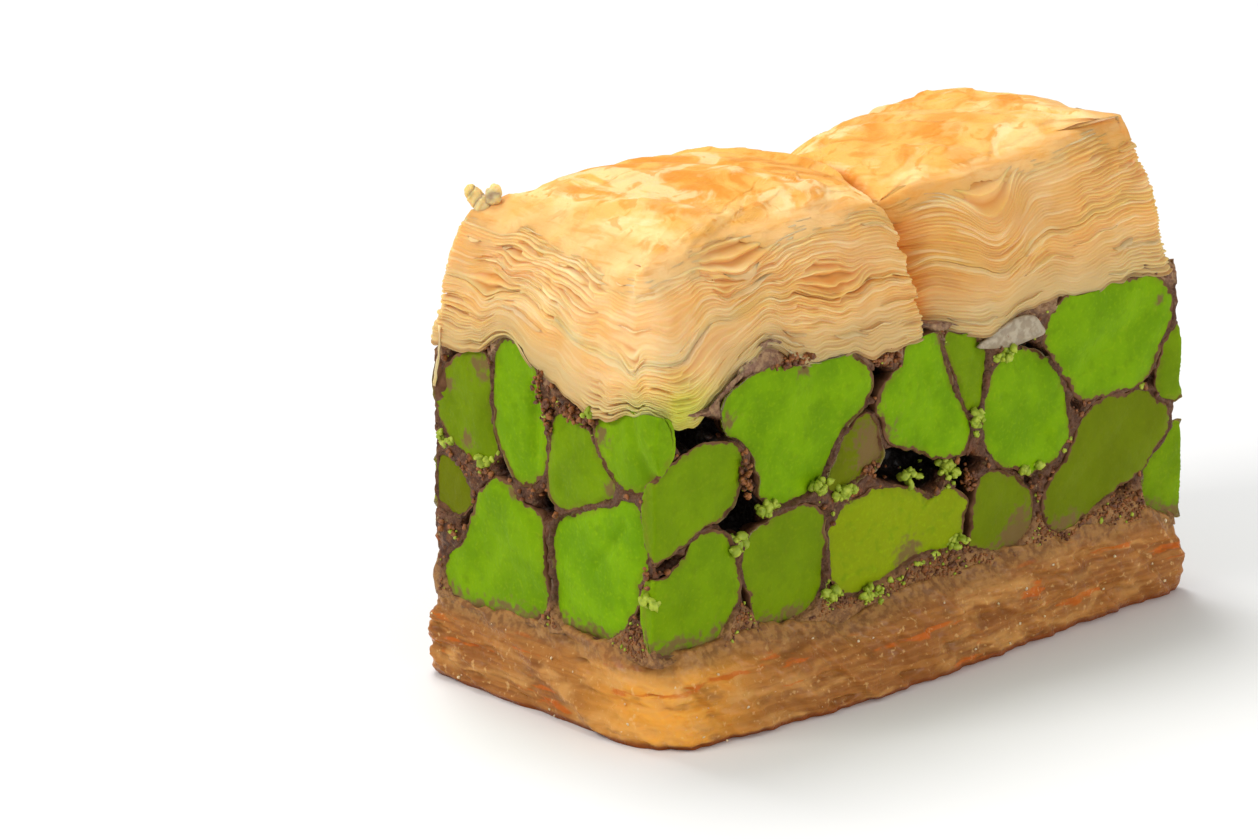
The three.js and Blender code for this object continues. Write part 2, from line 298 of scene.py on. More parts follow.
class Rim:
    """Points evenly spaced round the bar's plan, counterclockwise, with their outward directions."""

    def __init__(self, radii, step):
        corners = ((-1, -1, 180), (1, -1, 270), (1, 1, 0), (-1, 1, 90))
        points, outward = [], []
        for (side_x, side_y, start), radius in zip(corners, radii):
            turn = np.radians(np.linspace(start, start + 90, 12))
            direction = np.stack([np.cos(turn), np.sin(turn)], -1)
            middle = np.array([side_x * (HALF_LENGTH - radius), side_y * (HALF_DEPTH - radius)])
            points.append(middle + radius * direction)
            outward.append(direction)
        points = np.concatenate([*points, points[0][:1]])
        outward = np.concatenate([*outward, outward[0][:1]])
        walked = np.concatenate([[0], np.cumsum(np.hypot(*np.diff(points, axis=0).T))])
        self.count = int(walked[-1] / step)
        place = np.linspace(0, walked[-1], self.count, endpoint=False)
        self.x, self.y = (np.interp(place, walked, points[:, axis]) for axis in (0, 1))
        out = np.stack([np.interp(place, walked, outward[:, axis]) for axis in (0, 1)])
        self.out_x, self.out_y = out / np.hypot(*out)

    def facing(self, face):
        """1 where the rim runs along a face and 0 elsewhere, with soft ends."""
        out_x, out_y = OUTWARD[face]
        return smooth(self.out_x * out_x + self.out_y * out_y, 0.6, 0.9)

    def near(self, face, at, width):
        """How near each point is to a place along a face, from 0 to 1."""
        along = self.y if OUTWARD[face][0] else self.x
        return bump(along - at, width) * self.facing(face)

    def ring(self, x, y, z, out):
        """Points at x, y and z, moved outwards by out."""
        x, y, z = np.broadcast_arrays(x + self.out_x * out, y + self.out_y * out, z)
        return np.stack([x, y, z], -1)


# ---------------------------------------------------------------- materials


def colour(tone):
    """A colour as on a screen, from 0 to 255, as a shader's socket takes it. A socket stays itself."""
    if isinstance(tone, bpy.types.NodeSocket):
        return tone
    share = np.array(tone) / 255
    linear = np.where(share <= 0.04045, share / 12.92, ((share + 0.055) / 1.055) ** 2.4)
    return (*linear, 1.0)


class Paint:
    """A Principled material: colours laid on one another where noise or the mesh's values say."""

    def __init__(self, name, roughness, specular, coat=0.0, coat_roughness=0.03):
        self.material = bpy.data.materials.new(name)
        self.material.use_nodes = True
        self.tree = self.material.node_tree
        self.shader = self.tree.nodes["Principled BSDF"]
        self.place = self.node("TexCoord", "Object", {})
        self.base = None
        self.bumps = None
        self.set("Roughness", roughness)
        self.set("Specular IOR Level", specular)
        self.set("Coat Weight", coat)
        self.set("Coat Roughness", coat_roughness)

    def set(self, socket, value):
        self.feed(self.shader.inputs[socket], value)

    def feed(self, socket, value):
        """Gives a socket a number, another node's output, or the mesh's value of a name."""
        if isinstance(value, str):
            value = self.node("Attribute", "Fac", {}, attribute_name=value)
        if isinstance(value, bpy.types.NodeSocket):
            self.tree.links.new(value, socket)
        else:
            socket.default_value = value

    def node(self, kind, output, inputs, **settings):
        """An output of a new node, which gets its settings first and its inputs then."""
        node = self.tree.nodes.new("ShaderNode" + kind)
        for name, value in settings.items():
            setattr(node, name, value)
        for name, value in inputs.items():
            self.feed(node.inputs[name], value)
        return node.outputs[output]

    def spots(self, size, detail=4, stretch=(1, 1, 1), warp=0.0):
        """Noise from 0 to 1, uneven at size mm, drawn out along an axis by stretch."""
        scale = [1 / (size * MM * s) for s in stretch]
        place = self.node("Mapping", "Vector", {"Vector": self.place, "Scale": scale})
        inputs = {"Vector": place, "Scale": 1, "Detail": detail, "Distortion": warp}
        return self.node("TexNoise", "Fac", inputs)

    def step(self, where, low, high, most=1.0, least=0.0):
        """The least where a map is at low, the most where it is at high, with a soft step between."""
        inputs = {"Value": where, "From Min": low, "From Max": high, "To Min": least, "To Max": most}
        return self.node("MapRange", "Result", inputs, interpolation_type="SMOOTHSTEP")

    def maths(self, operation, a, b):
        return self.node("Math", "Value", {0: a, 1: b}, operation=operation)

    def blend(self, a, b, share):
        inputs = {"Factor": share, "A": colour(a), "B": colour(b)}
        return self.node("Mix", "Result", inputs, data_type="RGBA")

    def mottled(self, first, second, size, low=0.4, high=0.62, **spots):
        """Two colours in soft patches, size mm large."""
        return self.blend(first, second, self.step(self.spots(size, **spots), low, high))

    def lay(self, tone, where, *step):
        """Lays a colour over the base colour so far, as far as a map or a step in it says."""
        self.base = self.blend(self.base, tone, self.step(where, *step) if step else where)

    def relief(self, height, depth):
        """Bump of a height map, depth mm deep, on top of the bumps so far."""
        inputs = {"Height": height, "Distance": depth * MM}
        if self.bumps:
            inputs["Normal"] = self.bumps
        self.bumps = self.node("Bump", "Normal", inputs)

    def glow(self, weight, reach, colours=(1.0, 0.55, 0.25)):
        """Light that soaks into the food: reach in mm, by colour."""
        self.set("Subsurface Weight", weight)
        self.set("Subsurface Radius", [share * reach for share in colours])
        self.set("Subsurface Scale", MM)

    def finish(self):
        self.set("Base Color", self.base)
        if self.bumps:
            self.set("Normal", self.bumps)
        return self.material


def filo_colour(paint):
    """The leaves' colour, pale or browned by the oven, with painted shade towards the right lobe."""
    pale = paint.mottled((244, 200, 138), (240, 187, 116), 3.5, 0.42)
    brown = paint.mottled((216, 156, 70), (198, 132, 50), 5, 0.42)
    return paint.blend(pale, brown, "browning_and_shade")


def filo_paint():
    paint = Paint("golden_filo", roughness=0.55, specular=0.22)
    paint.base = filo_colour(paint)
    paint.lay((250, 222, 168), "tone", 0.15, 0.7, 0.4)
    paint.lay((232, 170, 94), "tone", -0.15, -0.7, 0.45)
    paint.lay((202, 172, 116), "level", 0.45, 0.04, 0.85)  # darker beige towards the bottom of the stack, near the filling
    # darkest brown at the lowest leaves: partly their own torn brown edges, partly painted shade where they
    # meet the filling
    paint.lay((128, 92, 56), "level", 0.05, 0.0, 0.8)
    paint.lay((226, 150, 66), "hollow", 0.02, 0.4, 0.8)  # painted shade and warm glow between the leaves
    paint.lay((176, 96, 24), "hollow", 0.5, 1.4, 0.9)  # painted deep shade in the slits
    paint.lay((196, 196, 60), "tint")  # painted green glow where the nuts show through the leaf tip
    paint.relief(paint.spots(0.5, stretch=(2, 2, 0.6)), 0.04)
    paint.glow(0.6, 2.0)
    return paint.finish()


def crust_paint():
    paint = Paint("glazed_filo", roughness=0.4, specular=0.12, coat=0.06, coat_roughness=0.3)
    golden = paint.mottled((240, 176, 84), (220, 142, 46), 6, 0.42, 0.6, detail=5, warp=1)
    pale = paint.mottled((250, 208, 138), (240, 180, 92), 3)
    paint.base = paint.blend(pale, golden, paint.step("sheet", 0.15, 0.95))
    cream = paint.spots(4.5, 6, (1.6, 1.6, 1), 1.5)
    paint.lay((252, 218, 160), cream, 0.53, 0.62, 0.6)
    pits = paint.spots(2.2, 7, (1.8, 1.2, 1), 2)
    paint.lay((228, 148, 50), pits, 0.55, 0.64, 0.7)
    paint.lay(filo_colour(paint), "rimward", 0.5, 1, 0.8)
    streaks = paint.spots(1.3, stretch=(3, 3, 0.35))
    paint.lay((224, 156, 70), paint.maths("MULTIPLY", paint.step(streaks, 0.5, 0.68, 0.6), "rimward"))
    # painted shade in the score's groove and along the crust's torn lower edge, with the torn sheets' own
    # darker edges
    paint.lay((200, 122, 42), "hollow", 0.1, 1.0, 0.8)
    paint.set("Roughness", paint.step(paint.spots(4), 0.35, 0.65, 0.7, 0.45))
    paint.relief(streaks, 0.12)
    paint.relief(pits, 0.15)
    paint.relief(paint.spots(2.2), 0.12)
    paint.relief(paint.spots(0.5), 0.05)
    paint.glow(0.25, 1.4)
    return paint.finish()


def soaked_paint():
    paint = Paint("soaked_pastry", roughness=0.4, specular=0.14, coat=0.05, coat_roughness=0.2)
    layers = paint.spots(0.9, 5, (7, 7, 0.5), 0.5)
    paint.base = paint.blend((146, 90, 38), (168, 110, 50), paint.step(layers, 0.4, 0.62))
    # painted amber glow of light through the syrup at the front left corner
    paint.lay((248, 174, 64), paint.maths("MULTIPLY", "painted_glow", 0.8))
    paint.lay((214, 160, 90), paint.spots(3.6, 6, (1.8, 1.8, 0.7), 0.8), 0.48, 0.68, 0.65)
    paint.lay((112, 64, 24), paint.spots(3, 6, (2, 2, 0.6)), 0.54, 0.7, 0.6)
    paint.lay((196, 96, 10), paint.spots(2.6, 4, (2.2, 2.2, 0.4)), 0.61, 0.68, 0.75)  # syrup
    paint.lay((226, 184, 120), paint.spots(0.5, 3), 0.6, 0.72, 0.5)  # grains
    paint.lay(paint.mottled((160, 116, 64), (124, 84, 46), 0.6), "ledge", 0.0, 0.9, 0.9)
    # darker brown at the foot: partly the base's own dark skin, partly painted shade next to the floor
    paint.lay((136, 70, 24), "foot")
    paint.set("Roughness", paint.step(paint.spots(1.4, 3), 0.35, 0.65, 0.6, 0.25))
    paint.relief(layers, 0.06)
    paint.relief(paint.spots(0.35, 3), 0.06)
    paint.glow(0.4, 1.4)
    return paint.finish()


def kernel_paint():
    paint = Paint("pistachio", roughness=0.55, specular=0.06)
    paint.base = paint.mottled((120, 164, 1), (102, 146, 1), 4.2, 0.36, 0.66, detail=3)
    paint.lay((138, 148, 8), "dull", 0.0, -1.0, 0.9)  # a negative dullness is yellow
    paint.lay((150, 180, 8), paint.spots(0.3, 3), 0.48, 0.8, 0.45)
    paint.lay((92, 132, 1), paint.spots(0.9, 6), 0.5, 0.75, 0.45)
    paint.lay((100, 100, 2), paint.maths("MULTIPLY", "dull", 0.85))
    faded = paint.step(paint.spots(1.2), 0.35, 0.65, 0.8, 0.1)
    paint.lay((116, 118, 30), paint.maths("MULTIPLY", "rim", faded))
    ragged = paint.step(paint.spots(0.6), 0.3, 0.7, 0.35, -0.35)
    paint.lay((118, 92, 56), paint.maths("ADD", "stain", ragged), 0.25, 0.9, 0.9)
    skin = paint.mottled((112, 78, 54), (92, 60, 38), 1.6, 0.42, 0.6, detail=3)
    paint.lay(skin, paint.maths("ADD", "skin", ragged), 0.45, 0.6)
    paint.relief(paint.spots(0.3), 0.05)
    paint.relief(paint.spots(1.1, 3, (1, 1, 2.2)), 0.08)
    paint.glow(0.25, 1.2, (0.7, 1.0, 0.2))
    return paint.finish()


def core_paint():
    paint = Paint("nut_skins", roughness=0.5, specular=0.2, coat=0.12, coat_roughness=0.25)
    paint.base = paint.mottled((116, 74, 44), (72, 40, 22), 0.6)
    paint.lay((172, 92, 34), paint.spots(2.4), 0.58, 0.7, 0.8)
    paint.lay((170, 142, 92), paint.spots(0.5, 3), 0.58, 0.7, 0.7)
    skins = paint.mottled((104, 70, 48), (84, 52, 32), 0.4)
    paint.lay(skins, paint.maths("MULTIPLY", "border", 0.8))
    paint.lay(paint.mottled((160, 116, 68), (128, 88, 52), 0.6), "low")
    pasty = paint.mottled((186, 150, 112), (146, 108, 84), 0.6)
    paint.lay(pasty, paint.maths("MULTIPLY", "high", 0.8))
    # painted shade: darker the deeper the gaps stand back, near black in the open holes
    paint.lay((72, 40, 24), "hollow", 0.0, 0.6, 0.75)
    paint.lay((16, 8, 3), "hollow", 0.5, 1.4)
    paint.relief(paint.spots(0.7), 0.5)
    paint.relief(paint.spots(0.3, 3), 0.25)
    paint.glow(0.1, 0.8)
    return paint.finish()


def crumb_paint(name, first, second):
    paint = Paint(name, roughness=0.5, specular=0.4)
    paint.base = paint.mottled(first, second, 0.7, high=0.6, detail=3)
    paint.relief(paint.spots(0.25, 3), 0.05)
    paint.glow(0.15, 0.6)
    return paint.finish()


def sugar_paint():
    paint = Paint("sugar", roughness=0.3, specular=0.5)
    paint.base = paint.blend((236, 214, 180), (214, 178, 130), paint.spots(0.6, 2))
    paint.glow(0.5, 0.8)
    return paint.finish()


# ---------------------------------------------------------------- top pastry: the stack of leaves

LEAVES = 44
LEAF_STEP = 0.23  # spacing of the points along a leaf's edge
TOP_RADII = (2.4, 1.4, 1.4, 1.4)  # vertical corners, from the front left one round
LEAF_LEAN = 1.5
SCORE_CUT = 2.7
SCORE_SLANT = 3.4
SCORE_WIDTHS = (0.4, 1.2)  # the left lobe's leaves end abruptly, the right lobe's bend in
MEAN_INSET = 0.25
TOP_INSET = {LEFT: 0.5, RIGHT: 3.6, FRONT: 2.6, BACK: 3.2}
RIGHT_FOOT_INSET = 0.6
DENT_AT, DENT_DEPTH, DENT_WIDTH = -20.5, 1.1, 4.5
STEP_AT, STEP_DEPTH, STEP_WIDTH = 2.5, 1.0, 4.0
ROLL_IN = 1.7  # how far the uppermost leaves stand in, as the rim rolls over into the crust
ROLL_UP = 0.23
ROLL_FROM = 0.74  # the level where that roll starts
CORNER_SINK = 2.2  # how far the leaves sink towards the front left corner
LEAF_THICK = 0.19

# Slits between leaves: place along the face, level from 0 to 1, half width and opening
SLITS = {
    LEFT: (
        (7.1, 0.52, 2.2, 7), (4.6, 0.80, 1.2, 4), (-3.8, 0.72, 2.0, 3), (-11.0, 0.62, 1.2, 4),
    ),
    FRONT: (
        (-26.5, 0.74, 1.8, 3), (-22.4, 0.42, 3.0, 4), (-20.2, 0.79, 0.9, 3), (-18.4, 0.93, 3.2, 5),
        (-9.0, 0.58, 2.6, 6), (1.8, 0.56, 1.4, 3), (3.4, 0.27, 2.4, 1.5), (11.4, 0.95, 2.6, 9),
    ),
    BACK: ((-12.0, 0.55, 3.0, 5), (14.0, 0.75, 2.6, 5)),
    RIGHT: ((3.0, 0.6, 2.4, 5),),
}
# Spots where the knife smeared the leaves smooth: place along the face, height, half sizes
PRESSED = {
    FRONT: (
        (4.5, 38.0, 5.0, 3.2), (24.0, 33.5, 5.0, 1.6), (-22.0, 40.5, 6.0, 1.8),
        (-12.0, 31.6, 8.0, 1.2),
    ),
    LEFT: ((9.5, 39.5, 4.5, 2.4), (3.0, 33.4, 6.0, 1.6), (-9.0, 31.5, 4.0, 2.0)),
    BACK: ((10.0, 35.0, 6.0, 2.0),),
    RIGHT: ((-4.0, 38.0, 4.0, 2.0),),
}


def front_hollow(x):
    """How far the front stands in: a dent in the left lobe, and a step beside the score."""
    dent = DENT_DEPTH * bump(x - DENT_AT, DENT_WIDTH)
    return dent + np.where(x > SCORE_AT, STEP_DEPTH * bump(x - STEP_AT, STEP_WIDTH), 0)


class Stack:
    """The leaves' edges round the bar: their levels, heights and how far each stands out."""

    def __init__(self):
        self.rim = rim = Rim(TOP_RADII, LEAF_STEP)
        number = np.arange(LEAVES)[:, None]
        x, y = rim.x[None], rim.y[None]
        lively = mix(1, 0.4, smooth(x, 0, 5))  # the right lobe's leaves lie calmer
        spread = 0.5 * noise(x, y, number * 3.0, 8, 1) + 0.5 * noise(x, y, number * 4.0, 2.8, 2)
        spacing = np.exp(spread * lively)
        for face, at, level, width, opening in each(SLITS):
            near = rim.near(face, at, width)[None]
            spacing = spacing + 1.3 * opening * near * bump(number - level * LEAVES, 0.7)
        summed = np.cumsum(spacing, 0)
        self.level = (summed - spacing / 2) / summed[-1:]
        self.floor = filling_top(rim.x, rim.y) - 0.5 + 0.4 * rough(rim.x, rim.y, 0, 2.4, 3)
        self.ceiling = lobe_top(rim.x / HALF_LENGTH, rim.y / HALF_DEPTH) - 0.15
        self.tall = self.ceiling - self.floor
        self.space = spacing / summed[-1:] * self.tall
        self.corner = bump(np.hypot(rim.x + HALF_LENGTH, rim.y + HALF_DEPTH), 6.5)
        self.long_side = smooth(np.abs(rim.out_y), 0.7, 0.9)
        self.z = self.height(self.level)
        ripple = 0.15 * noise(x, y, self.z / 3, 2.6, 9) * (1 - smooth(self.level, ROLL_FROM, 1))
        self.z = self.z + ripple * lively
        # Where the leaves stand apart from one another, as the knife didn't press them together
        self.open = smooth(noise(x, y, self.z * 1.3, 6.5, 10), -0.35, 0.4) * (1 - self.pressed(self.z))
        shift = 0.5 * noise(number, 0, 0, 1.7, 8)  # each leaf ends a little elsewhere at the score
        self.tone = noise(x, y, number * 9.1, 5, 13)
        self.score = self.notch(shift)
        self.out = self.envelope(self.level, self.z, shift) + self.raggedness(x, y, number)

    def height(self, level):
        """Height of a level, from 0 to 1: the leaves sink to one corner and roll up at the rim."""
        sink = CORNER_SINK * self.corner * 4 * level * (1 - level)
        return self.floor + self.tall * level - sink + ROLL_UP * smooth(level, ROLL_FROM, 1.1) ** 2

    def pressed(self, z):
        """How far the knife smeared the leaves, from 0 to 1."""
        spots = (
            self.rim.near(face, at, wide) * bump(z - up, tall) for face, at, up, wide, tall in each(PRESSED)
        )
        return np.clip(sum(spots), 0, 1)

    def notch(self, shift):
        """How far the leaves stand in at the score."""
        away = from_score(self.rim.x, self.rim.y) + shift
        return SCORE_CUT * np.exp(-np.abs(away) / np.where(away < 0, *SCORE_WIDTHS)) * self.long_side

    def envelope(self, level, z, shift=0.0):
        """How far the stack's side stands out, without the single leaves' raggedness."""
        rim = self.rim
        broad = 0.5 * noise(rim.x, rim.y, z, 5, 4) + 0.25 * noise(rim.x, rim.y, z, 2.2, 5)
        hollow = front_hollow(rim.x + shift) * smooth(-rim.out_y, 0.5, 0.9)
        return broad - MEAN_INSET - self.notch(shift) - hollow - ROLL_IN * smooth(level, ROLL_FROM, 1.1) ** 2

    def raggedness(self, x, y, number):
        """How far each leaf's torn edge stands out, or in where a bit broke off."""
        calm = mix(1, 0.6, smooth(x, 0, 5)) * mix(1, 0.6, self.rim.facing(RIGHT))
        fringe = 0.17 * noise(x, y, number * 9.7, 2.2, 6) + 0.12 * noise(x, y, number * 7.3, 0.8, 7)
        broken = 0.45 * smooth(noise(x, y, number * 11.3, 3.2, 14), 0.3, 0.5)
        return (fringe - broken) * (0.12 + 0.88 * self.open) * calm

    def place(self, level, outwards, share=1.0, columns=slice(None)):
        """Plan position of the leaves' edges, which lean in towards the top, mostly near it.

        A share below 1 gives a ring that far out from the middle. Columns pick some of the points.
        """
        rim = self.rim
        along = rim.x[columns] * share / HALF_LENGTH
        across = rim.y[columns] * share / HALF_DEPTH
        lean = level**LEAF_LEAN
        left = -HALF_LENGTH + lean * TOP_INSET[LEFT]
        right = HALF_LENGTH - mix(RIGHT_FOOT_INSET, TOP_INSET[RIGHT], level)
        front = -HALF_DEPTH + lean * TOP_INSET[FRONT]
        back = HALF_DEPTH - lean * TOP_INSET[BACK]
        slant = SCORE_SLANT * ((across + 1) / 2) * (1 - along**2)
        x = mix(left, right, (along + 1) / 2) + slant + rim.out_x[columns] * outwards
        return x, mix(front, back, (across + 1) / 2) + rim.out_y[columns] * outwards

    def ring(self, level, z, outwards, columns=slice(None)):
        x, y = self.place(level, outwards, columns=columns)
        return np.stack([x, y, np.broadcast_to(z, x.shape)], -1)


CAP_REACH = 4.0  # how far a slab's flat ends run in before they close


def leaf_slab(stack, first, last):
    """Leaves first to last as one stack of rings, with a hollow between each two."""
    # hollow: how deep each ring lies between the leaves and at the score, which the paint darkens as painted
    # shade
    slab = Rings("hollow", "level", "tone")

    def row(level, z, outwards, hollow, tone=0.0):
        slab.add(stack.ring(level, z, outwards), hollow, level, tone)

    def between(j):
        below, above = max(j, 0), min(j + 1, LEAVES - 1)
        level, z, space, open_share = (
            (rows[below] + rows[above]) / 2 for rows in (stack.level, stack.z, stack.space, stack.open)
        )
        deep = np.clip((0.07 + 0.9 * (space - 0.21)) * mix(0.25, 1, open_share), 0.03, 2.4)
        return level, z, np.minimum(stack.out[below], stack.out[above]) - deep, deep

    level, z, out, deep = between(first - 1)
    row(level, z, out - CAP_REACH, 1.5)
    for j in range(first, last):
        thick = np.minimum(LEAF_THICK, 0.6 * stack.space[j])
        edge_z = stack.z[j] - 0.15 * np.maximum(stack.out[j] + MEAN_INSET, 0)
        cut = 0.25 * stack.score[j] ** 1.5
        for side, inwards, hollow in ((-1, 0.4, cut + 0.03), (0, 0, cut), (1, 0.4, cut)):
            z = edge_z + side * thick / 2
            row(stack.level[j], z, stack.out[j] - inwards * thick, hollow, stack.tone[j])
        level, z, out, deep = between(j)
        if j < last - 1 or last < LEAVES:
            row(level, z, out, deep + cut, stack.tone[j])
    row(level, z, out - CAP_REACH, 1.5)
    return slab


GREEN_CORNER = (-27.0, 28.2)  # where the nuts' green is painted as showing through the leaves' tip: along the front, and up
CORNER_REACH = 3.8


def browning_and_shade(points):
    """How brown the leaves are, partly from the oven and partly as painted shade away from the lit left end:
    least at the left end, most on the right lobe.
    """
    x, y, z = points.T
    away = 0.45 * smooth(x + 0.5 * y, -34, -24) - 0.06 * smooth(x, -2, 4)
    lobe = bump(x - 3.5, 5) * bump(z - 37.5, 5) + 0.8 * bump(x - 27, 6) * bump(z - 38, 6)
    return np.clip((away + 0.45 * lobe) * (1 + 0.5 * rough(x, y, z, 9, 12)), 0, 1)


def build_leaves(stack, material):
    """The leaves that show at the sides, in a lower and an upper slab."""
    half = LEAVES // 2
    for name, first, last, replaces in (
        ("filo_leaves_lower", 0, half, "top_pastry"),
        ("filo_leaves_upper", half, LEAVES, None),
    ):
        slab = leaf_slab(stack, first, last)
        middle = np.mean(slab.rings, (0, 1)) * (1, 1, 0)
        low, high = (middle + (0, 0, ring[:, 2].mean()) for ring in (slab.rings[0], slab.rings[-1]))
        points, triangles, values = slab.shut(low, high, (1, 1), (0, 1), (0, 0))
        x, y, z = points.T
        green = bump(x - GREEN_CORNER[0], CORNER_REACH) * bump(z - GREEN_CORNER[1], 2.2)
        tint = 0.85 * green * smooth(-y, 8, 12)
        skin = Skin().add(points, triangles, **values, tint=tint, browning_and_shade=browning_and_shade(points))
        skin.build(name, material, "golden_filo", replaces)


# ---------------------------------------------------------------- top pastry: crust and flakes

CRUST_RINGS = 62
CRUST_THICK = 0.12
OVERHANG_ROWS = 9
OVERHANG_LEVEL = 0.84  # where the crust's torn edge lies on the stack's side, from 0 to 1
OVERHANG_RANGE = (0.7, 0.985)
CORNER_HELD = 0.35  # how far the crust stands off at the front right corner
SHEET_STEP = 0.12  # thickness of a broken leaf on the crust
SCORE_DEEP, SCORE_WIDE = 1.0, 0.5  # the knife's groove along the score


def crust_height(x, y, along, across, middle):
    """Height of the crust, the share of upper leaves that lie on it, and the score's depth."""
    z = lobe_top(along, across)
    lies = [rough(x, y, 9 * k, 7, 20 + k) + 0.8 * middle - 0.42 for k in range(3)]
    sheets = sum(smooth(over, 0, 0.03) for over in lies)
    torn = sum(bump(over, 0.035) for over in lies)
    folds = 0.16 * rough(x, y, 3, 3.4, 31) + 0.06 * rough(x, y, 5, 1.1, 32)
    blisters = 0.3 * smooth(noise(x, y, 8, 3.6, 33), 0.45, 0.85)
    away = from_score(along * HALF_LENGTH, across * HALF_DEPTH)
    score = bump(away + 0.4 * noise(x, y, 0, 2, 34), SCORE_WIDE)
    relief = SHEET_STEP * (sheets - 1) + folds + blisters
    z = z + relief * smooth(middle, 0, 0.25) - SCORE_DEEP * score
    return z, sheets / 3, np.maximum(score, 0.25 * torn)


def build_crust(stack, material):
    """The uppermost leaf: it lies on the lobes, rolls over the rim and ends in a torn edge."""
    rim = stack.rim
    # hollow: the score's depth, the torn sheets' edges and the torn lower edge, which the paint darkens,
    # mostly as painted shade
    crust = Rings("hollow", "sheet", "rimward")
    held = CORNER_HELD * bump(np.hypot(rim.x - HALF_LENGTH, rim.y + HALF_DEPTH), 3)
    torn = 0.07 * rough(rim.x, rim.y, 0, 6, 35, 4) + 0.03 * rough(rim.x, rim.y, 4, 1.2, 36)
    for face, at, level, wide, _ in each(SLITS):
        if level > 0.75:
            torn = torn + 0.14 * rim.near(face, at, wide)
    end = np.clip(OVERHANG_LEVEL + torn + 0.05 * rim.facing(LEFT), *OVERHANG_RANGE)
    for i in range(-1, OVERHANG_ROWS):
        share = max(i, 0) / (OVERHANG_ROWS - 1)
        level = mix(end, 1.0, share)
        z = stack.height(level)
        lift = mix(-0.3, CRUST_THICK, share) + held + 0.12 * noise(rim.x, rim.y, z, 1.5, 37)
        out = stack.envelope(level, z) + (lift if i >= 0 else -0.6)
        crust.add(stack.ring(level, z, out), 0.35 * (1 - max(i, 0) / OVERHANG_ROWS), 0, 1)
    edge = stack.envelope(1.0, stack.ceiling) + CRUST_THICK + held
    for i in range(CRUST_RINGS):
        share = 1 - (i + 1) / (CRUST_RINGS + 1)
        along, across = rim.x / HALF_LENGTH * share, rim.y / HALF_DEPTH * share
        x, y = stack.place(1.0, edge * smooth(share, 0.6, 1), share)
        z, sheets, score = crust_height(x, y, along, across, 1 - share**3)
        crust.add(np.stack([x, y, z], -1), score, sheets, smooth(share, 0.75, 1))
    inside = (0, 0, EDGE_TOP - 4)
    points, triangles, values = crust.shut(inside, crust.rings[-1].mean(0), (0, 0), (0, 0), (0, 0))
    skin = Skin().add(points, triangles, **values, browning_and_shade=browning_and_shade(points))
    skin.build("filo_crust", material, "golden_filo")


FLAKE_COUNT = 60
FLAKE_ACROSS = 6
FLAKE_THICK = 0.05
FLAKE_WIDTHS = (1.6, 7)
FLAKE_REACHES = (0.2, 0.5)
FLAKE_CURL = 0.8


def build_flakes(stack, material):
    """Thin torn leaves that peel off the stack's sides and curl."""
    draw = np.random.default_rng(11)
    skin = Skin()
    count = stack.rim.count
    for _ in range(FLAKE_COUNT):
        leaf = draw.integers(3, int(0.96 * LEAVES))
        start = draw.integers(0, count)
        wide = int(draw.uniform(*FLAKE_WIDTHS) / LEAF_STEP)
        columns = (start + np.arange(0, wide, 2)) % count
        reach = draw.uniform(*FLAKE_REACHES)
        curl = draw.uniform(-FLAKE_CURL, FLAKE_CURL)
        share = np.linspace(0, 1, len(columns))
        torn = np.sin(np.pi * share) ** 0.6 * (1 + 0.4 * noise(share * 9, leaf, 0, 1, 40))
        outwards = np.linspace(-0.5, 1, FLAKE_ACROSS)[:, None]
        out = stack.out[leaf][columns] + outwards * reach * torn * np.where(outwards > 0, 1, 0.5)
        z = stack.z[leaf][columns] + curl * reach * np.maximum(outwards, 0) ** 2 * torn
        level = stack.level[leaf][columns]
        upper = stack.ring(level, z, out, columns)
        points, triangles = plate(upper, upper - (0, 0, FLAKE_THICK))
        level = np.broadcast_to(level, out.shape)
        skin.add(points, triangles, level=np.tile(level.ravel(), 2), browning_and_shade=browning_and_shade(points))
    skin.build("filo_flakes", material, "golden_filo")


# ---------------------------------------------------------------- bottom pastry

BASE_STEP = 0.25
BASE_ROWS = 50
BASE_RADII = (4.6, 1.2, 2.4, 1.6)  # vertical corners, in the same order
FOOT_SAG = {FRONT: 2.6, LEFT: 0.3, RIGHT: 0.9, BACK: 0.6}
FRONT_SAG_AT, FRONT_SAG_WIDTH = -8, 24
FOOT_ROUND = 0.7
LEDGE_INSET = 0.34
LEDGE_RINGS = (0.3, 0.6, 1.0, 1.6, 2.4, 3.4, 4.6)
AMBER_AT, AMBER_REACH = (-28.5, -13), 6.5  # the corner where light through the syrup is painted as an amber glow


def base_side(rim, level):
    """Plan position of the base's side, without its crumbs: it bulges out towards the foot."""
    low = 1 - level**2
    front = FOOT_SAG[FRONT] * bump(rim.x - FRONT_SAG_AT, FRONT_SAG_WIDTH)
    sag_x = low * np.where(rim.x > 0, FOOT_SAG[RIGHT], FOOT_SAG[LEFT])
    sag_y = low * np.where(rim.y > 0, FOOT_SAG[BACK], front)
    broad = 0.3 * wander(1.35 * rim.x - 0.65 * rim.y + 9 * level, 9, 1 + level)
    return rim.x * (1 + (sag_x + broad) / HALF_LENGTH), rim.y * (1 + (sag_y + broad) / HALF_DEPTH)


def base_relief(x, y, z):
    """Pressed layers that slope and wander, and the crumbs torn off them."""
    tilted = z + 0.06 * x
    layer = 1.9 * (tilted + 0.6 * noise(x, y, z, 9, 50) + 0.3 * noise(x / 2, y / 2, z, 2.0, 51))
    saw = (layer % 1) ** 1.5
    clear = smooth(noise(x, y, z, 5, 52), -0.2, 0.6)
    torn = 0.34 * rough(x / 2, y / 2, 1.2 * tilted, 1.6, 53) + 0.08 * noise(x, y, z, 0.6, 56)
    pits = 0.35 * smooth(noise(x / 3, y / 3, 1.6 * tilted, 1.2, 54), 0.42, 0.75)
    return 0.12 * saw * clear + torn - pits - 0.1


